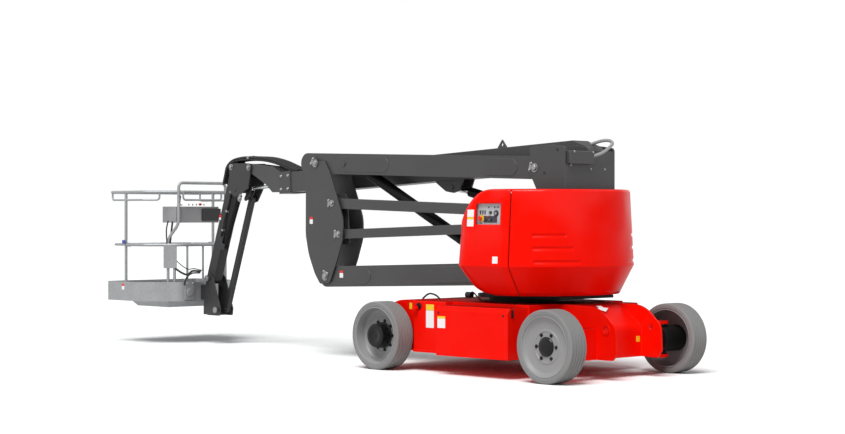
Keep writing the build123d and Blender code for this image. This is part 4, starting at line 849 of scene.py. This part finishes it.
jib_hoses = []
for wave, y in ((0.004, 0.065), (-0.004, 0.078)):
    run = [(0.14, 0.02, 0.095), (0.19, 0.036, y), (0.34, 0.048 + wave, y), (0.5, 0.044, y),
           (0.64, 0.048 - wave, y), (0.72, 0.04, y), (0.77, 0.026, 0.095)]
    jib_hoses.append(hose([along_jib(*spot) for spot in run], 0.006))
piece("jib_hoses", jib_hoses, hose_rubber, "jib_beam")
clips = []
for distance in (0.26, 0.47, 0.68):
    place = at(*along_jib(distance, 0.046, 0.085))
    clips.append(plate(oblong(0.03, 0.02, 0.005), place, turned_by(-JIB_LEAN) @ NEAR, 0.029, 0.003))
piece("jib_clips", clips, bright_zinc, "jib_beam")

CABLE_FOOT = (-4.7, 0.03, 0.765)
thick = [CABLE_FOOT, (-4.755, -0.04, 0.77), (-4.775, -0.1, 0.732), (-4.83, -0.17, 0.775),
         (-4.9, -0.215, 0.85), (-4.93, -0.225, 0.95)]
thin = [(-4.7, 0.045, 0.775), (-4.76, -0.02, 0.795), (-4.79, -0.08, 0.79), (-4.84, -0.15, 0.85),
        (-4.9, -0.2, 0.93)]
lower = [(-4.7, 0.02, 0.75), (-4.752, -0.05, 0.745), (-4.765, -0.11, 0.7), (-4.775, -0.125, 0.655),
         (-4.775, -0.128, 0.62)]
cables = [hose(thick, 0.011), hose(thin, 0.005), hose(lower, 0.008)]
basket_cables = piece("basket_cables", cables, hose_rubber)
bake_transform(basket_cables)
thick = [(-4.885, -0.205, 1.29), (-4.892, -0.215, 1.18), (-4.905, -0.222, 1.06), (-4.93, -0.225, 0.94)]
thin = [(-4.9, -0.25, 1.3), (-4.915, -0.262, 1.2), (-4.912, -0.258, 1.06)]
piece("console_cables", [hose(thick, 0.01), hose(thin, 0.007)], hose_rubber, "basket")

deck_loop = [(-0.86, -0.42, 0.616), (-0.8, -0.43, 0.65), (-0.74, -0.44, 0.664), (-0.66, -0.45, 0.65),
             (-0.6, -0.46, 0.618)]
lead = [(-0.3, -0.4, 0.665), (-0.26, -0.4, 0.69), (-0.2, -0.4, 0.65), (-0.15, -0.4, 0.618)]
plug = turned([(0.06, 0.01), (0.06, 0.026), (0.0, 0.026)], at(-0.33, -0.4, 0.665), -AHEAD, 24)
piece("deck_cable_loop", [hose(deck_loop, 0.008), hose(lead, 0.006), plug], hose_rubber, "chassis")

# ==== Back of the tower's head ====
# A painted junction box, plated bolts, dark discs painted as the shade seen in two open holes, and a pale
# conduit that carries the cables from the head over into the boom.
HEAD_BACK, BOX_DEPTH = 0.737, 0.04
junction = plate(oblong(0.3, 0.11, 0.008), at(HEAD_BACK, -0.146, 1.838), AHEAD, BOX_DEPTH, 0.004)
piece("junction_box", [junction], grey_coat, "tower_head")
head_bolts = []
for back, y, z in ((BOX_DEPTH, -0.25, 1.888), (BOX_DEPTH, -0.01, 1.884), (0.0, -0.25, 1.776),
                   (0.0, 0.006, 1.745), (0.0, 0.185, 1.745)):
    head_bolts += bolt(at(HEAD_BACK + back, y, z), AHEAD, 0.008)
piece("head_bolts", head_bolts, bright_zinc, "tower_head")
# black discs on the near plate: painted shade in place of two open holes
head_hole_shade = [turned([(0.0015, 0.004), (0.0015, 0.014), (0.0, 0.015)], at(x, -0.318, z), NEAR, 24)
              for x, z in ((0.652, 1.906), (0.502, 1.713))]
piece("head_hole_shade", head_hole_shade, switch_black, "tower_head")
conduit = [(0.757, 0.000, 1.85), (0.79, 0.085, 1.88), (0.802, 0.165, 1.926), (0.786, 0.23, 1.966),
           (0.742, 0.24, 1.992), (0.68, 0.21, 1.99), (0.6, 0.165, 1.962)]
tower_conduit = piece("tower_conduit", [hose(conduit, 0.014)], control_plastic)
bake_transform(tower_conduit)

# ==== Guard rails ====
# Bent round tube, galvanised: a top rail all round, a middle rail that leaves the gate free, posts, a hoop by
# the console and thin handholds under the top rail. They stand welded on the tray.
RAIL, SPINDLE, GRIP = 0.016, 0.012, 0.01
OUTER_X, INNER_X, HALF, CUT = -5.696, -4.808, 0.584, 0.3
POST_X, FOOT_Z, MID_Z, TOP_Z, HOOP_Z, GRIP_Z = -5.394, 0.453, 1.045, 1.604, 1.7, 1.52
HOOP_X, HOOP_HALF, GATE_HALF, POST_HALF = -4.824, 0.31, 0.536, 0.58


def in_basket(x, y, z):
    """A place in the basket, its y measured from the basket's middle line."""
    return at(x, BOOM_Y + y, z)


def post(x, y, high, radius):
    """A straight upright tube from the tray's floor."""
    return tube(np.array([in_basket(x, y, FOOT_Z), in_basket(x, y, high)]), radius, 16, LENGTHWAYS)


inner_line = [(POST_X, -HALF), (INNER_X - CUT, -HALF), (INNER_X, CUT - HALF), (INNER_X, HALF - CUT),
              (INNER_X - CUT, HALF), (POST_X, HALF)]
whole_line = inner_line + [(OUTER_X, HALF), (OUTER_X, -HALF), (POST_X, -HALF)]
rails = [tube(bent([in_basket(x, y, z) for x, y in line], 0.09), RAIL, 16, UPWARDS)
         for line, z in ((whole_line, TOP_Z), (inner_line, MID_Z))]
for side in (-1, 1):
    rails.append(post(POST_X, side * POST_HALF, TOP_Z, RAIL))
    rails.append(post(INNER_X - 0.062, side * (HALF - 0.254), MID_Z, RAIL))
    hinge = [in_basket(POST_X, side * y, MID_Z) for y in (GATE_HALF + RAIL + 0.001, POST_HALF)]
    rails.append(tube(np.array(hinge), SPINDLE, 16, LENGTHWAYS))
    grip = [(OUTER_X + 0.06, TOP_Z), (OUTER_X + 0.06, GRIP_Z), (INNER_X - CUT, GRIP_Z)]
    grip = [in_basket(x, side * HALF, z) for x, z in grip]
    grip += [in_basket(INNER_X - 0.55 * CUT, side * (HALF - 0.45 * CUT), z) for z in (GRIP_Z, TOP_Z)]
    rails.append(tube(bent(grip, 0.035), GRIP, 12, SIDEWAYS))
rails += [post(INNER_X - 0.004, y, MID_Z, SPINDLE) for y in (-0.206, 0.0, 0.206)]
grip = [(-0.262, TOP_Z), (-0.262, GRIP_Z), (0.242, GRIP_Z), (0.242, TOP_Z)]
rails.append(tube(bent([in_basket(INNER_X, y, z) for y, z in grip], 0.035), GRIP, 12, LENGTHWAYS))
hoop = [(INNER_X - 0.108, HALF - 0.204, FOOT_Z), (INNER_X - 0.108, HALF - 0.204, 1.11),
        (HOOP_X, HOOP_HALF, 1.265), (HOOP_X, HOOP_HALF, HOOP_Z)]
hoop = [in_basket(x, -y, z) for x, y, z in hoop] + [in_basket(x, y, z) for x, y, z in reversed(hoop)]
rails.append(tube(bent(hoop, 0.055), RAIL, 16, LENGTHWAYS))
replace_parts(piece("guard_rails", rails, zinc_coat, "basket"), "basket_rails")

# ==== Basket fittings ====
# Galvanised boxes and a round boss where the tray sits on the rotator, the console's joystick, switches,
# stop button and black front, the plate that carries its cables, the gate's blue latch and a blank label.
saddles = [plate(oblong(0.122, 0.224, 0.006), in_basket(-4.792, y, 0.578), AHEAD, 0.018, 0.003)
           for y in (-0.201, 0.201)]
piece("saddle_boxes", saddles, zinc_coat, "basket")
CONSOLE_X, CONSOLE_Z = -4.9, 1.462
stick = [(0.1, 0.006), (0.098, 0.013), (0.08, 0.015), (0.06, 0.011), (0.012, 0.007), (0.0, 0.016)]
stick_seat = [(0.01, 0.02), (0.008, 0.028), (0.0, 0.03)]
switch = [(0.018, 0.003), (0.016, 0.005), (0.0, 0.006)]
console_top = [turned(stick_seat, at(CONSOLE_X, -0.1, CONSOLE_Z), UP, 32),
               turned(stick, at(CONSOLE_X, -0.1, CONSOLE_Z + 0.006), UP, 24)]
console_top += [turned(switch, at(CONSOLE_X, y, CONSOLE_Z), UP, 14) for y in (0.02, 0.07, 0.12, 0.22)]
button = [(0.024, 0.01), (0.021, 0.016), (0.014, 0.018), (0.0, 0.01)]
button = turned(button, at(CONSOLE_X, 0.17, CONSOLE_Z), UP, 28)
front = plate(oblong(0.25, 0.13, 0.012), at(-4.8395, 0.268, 1.365), AHEAD, 0.012, 0.003)
latch = plate(oblong(0.05, 0.04, 0.006), at(POST_X, -0.464, 1.075), NEAR, 0.012, 0.003)
latch_blue = moulded("latch_blue_plastic", (0.05, 0.07, 0.35), (0.04, 0.06, 0.3), (0.1, 0.1, 0.4), 0.4)
boss = [(0.006, 0.02), (0.006, 0.04), (0.003, 0.047), (0.0, 0.048)]
boss = [turned(boss, at(-4.774, -0.052, 0.545), AHEAD, 40)]
boss += bolt(at(-4.774, -0.095, 0.64), AHEAD, 0.01) + bolt(at(-4.774, -0.02, 0.64), AHEAD, 0.01)
ASLANT = np.array([(0.6, 0.8, 0.0), UPWARDS])
post_plate = plate(oblong(0.14, 0.25, 0.01), at(-4.885, -0.235, 0.925), ASLANT, 0.006, 0.001)
piece("console_stick", console_top, switch_black, "basket")
piece("console_stop", [button], stop_red, "basket")
piece("console_front", [front], switch_black, "basket")
piece("gate_latch", [latch], latch_blue, "basket")
piece("saddle_boss", boss, zinc_coat, "basket")
piece("post_plate", [post_plate], zinc_coat, "basket")
banded_label("toe", "basket", -5.42, 0.585, 0.617, 0.048, 0.04, -0.4602)
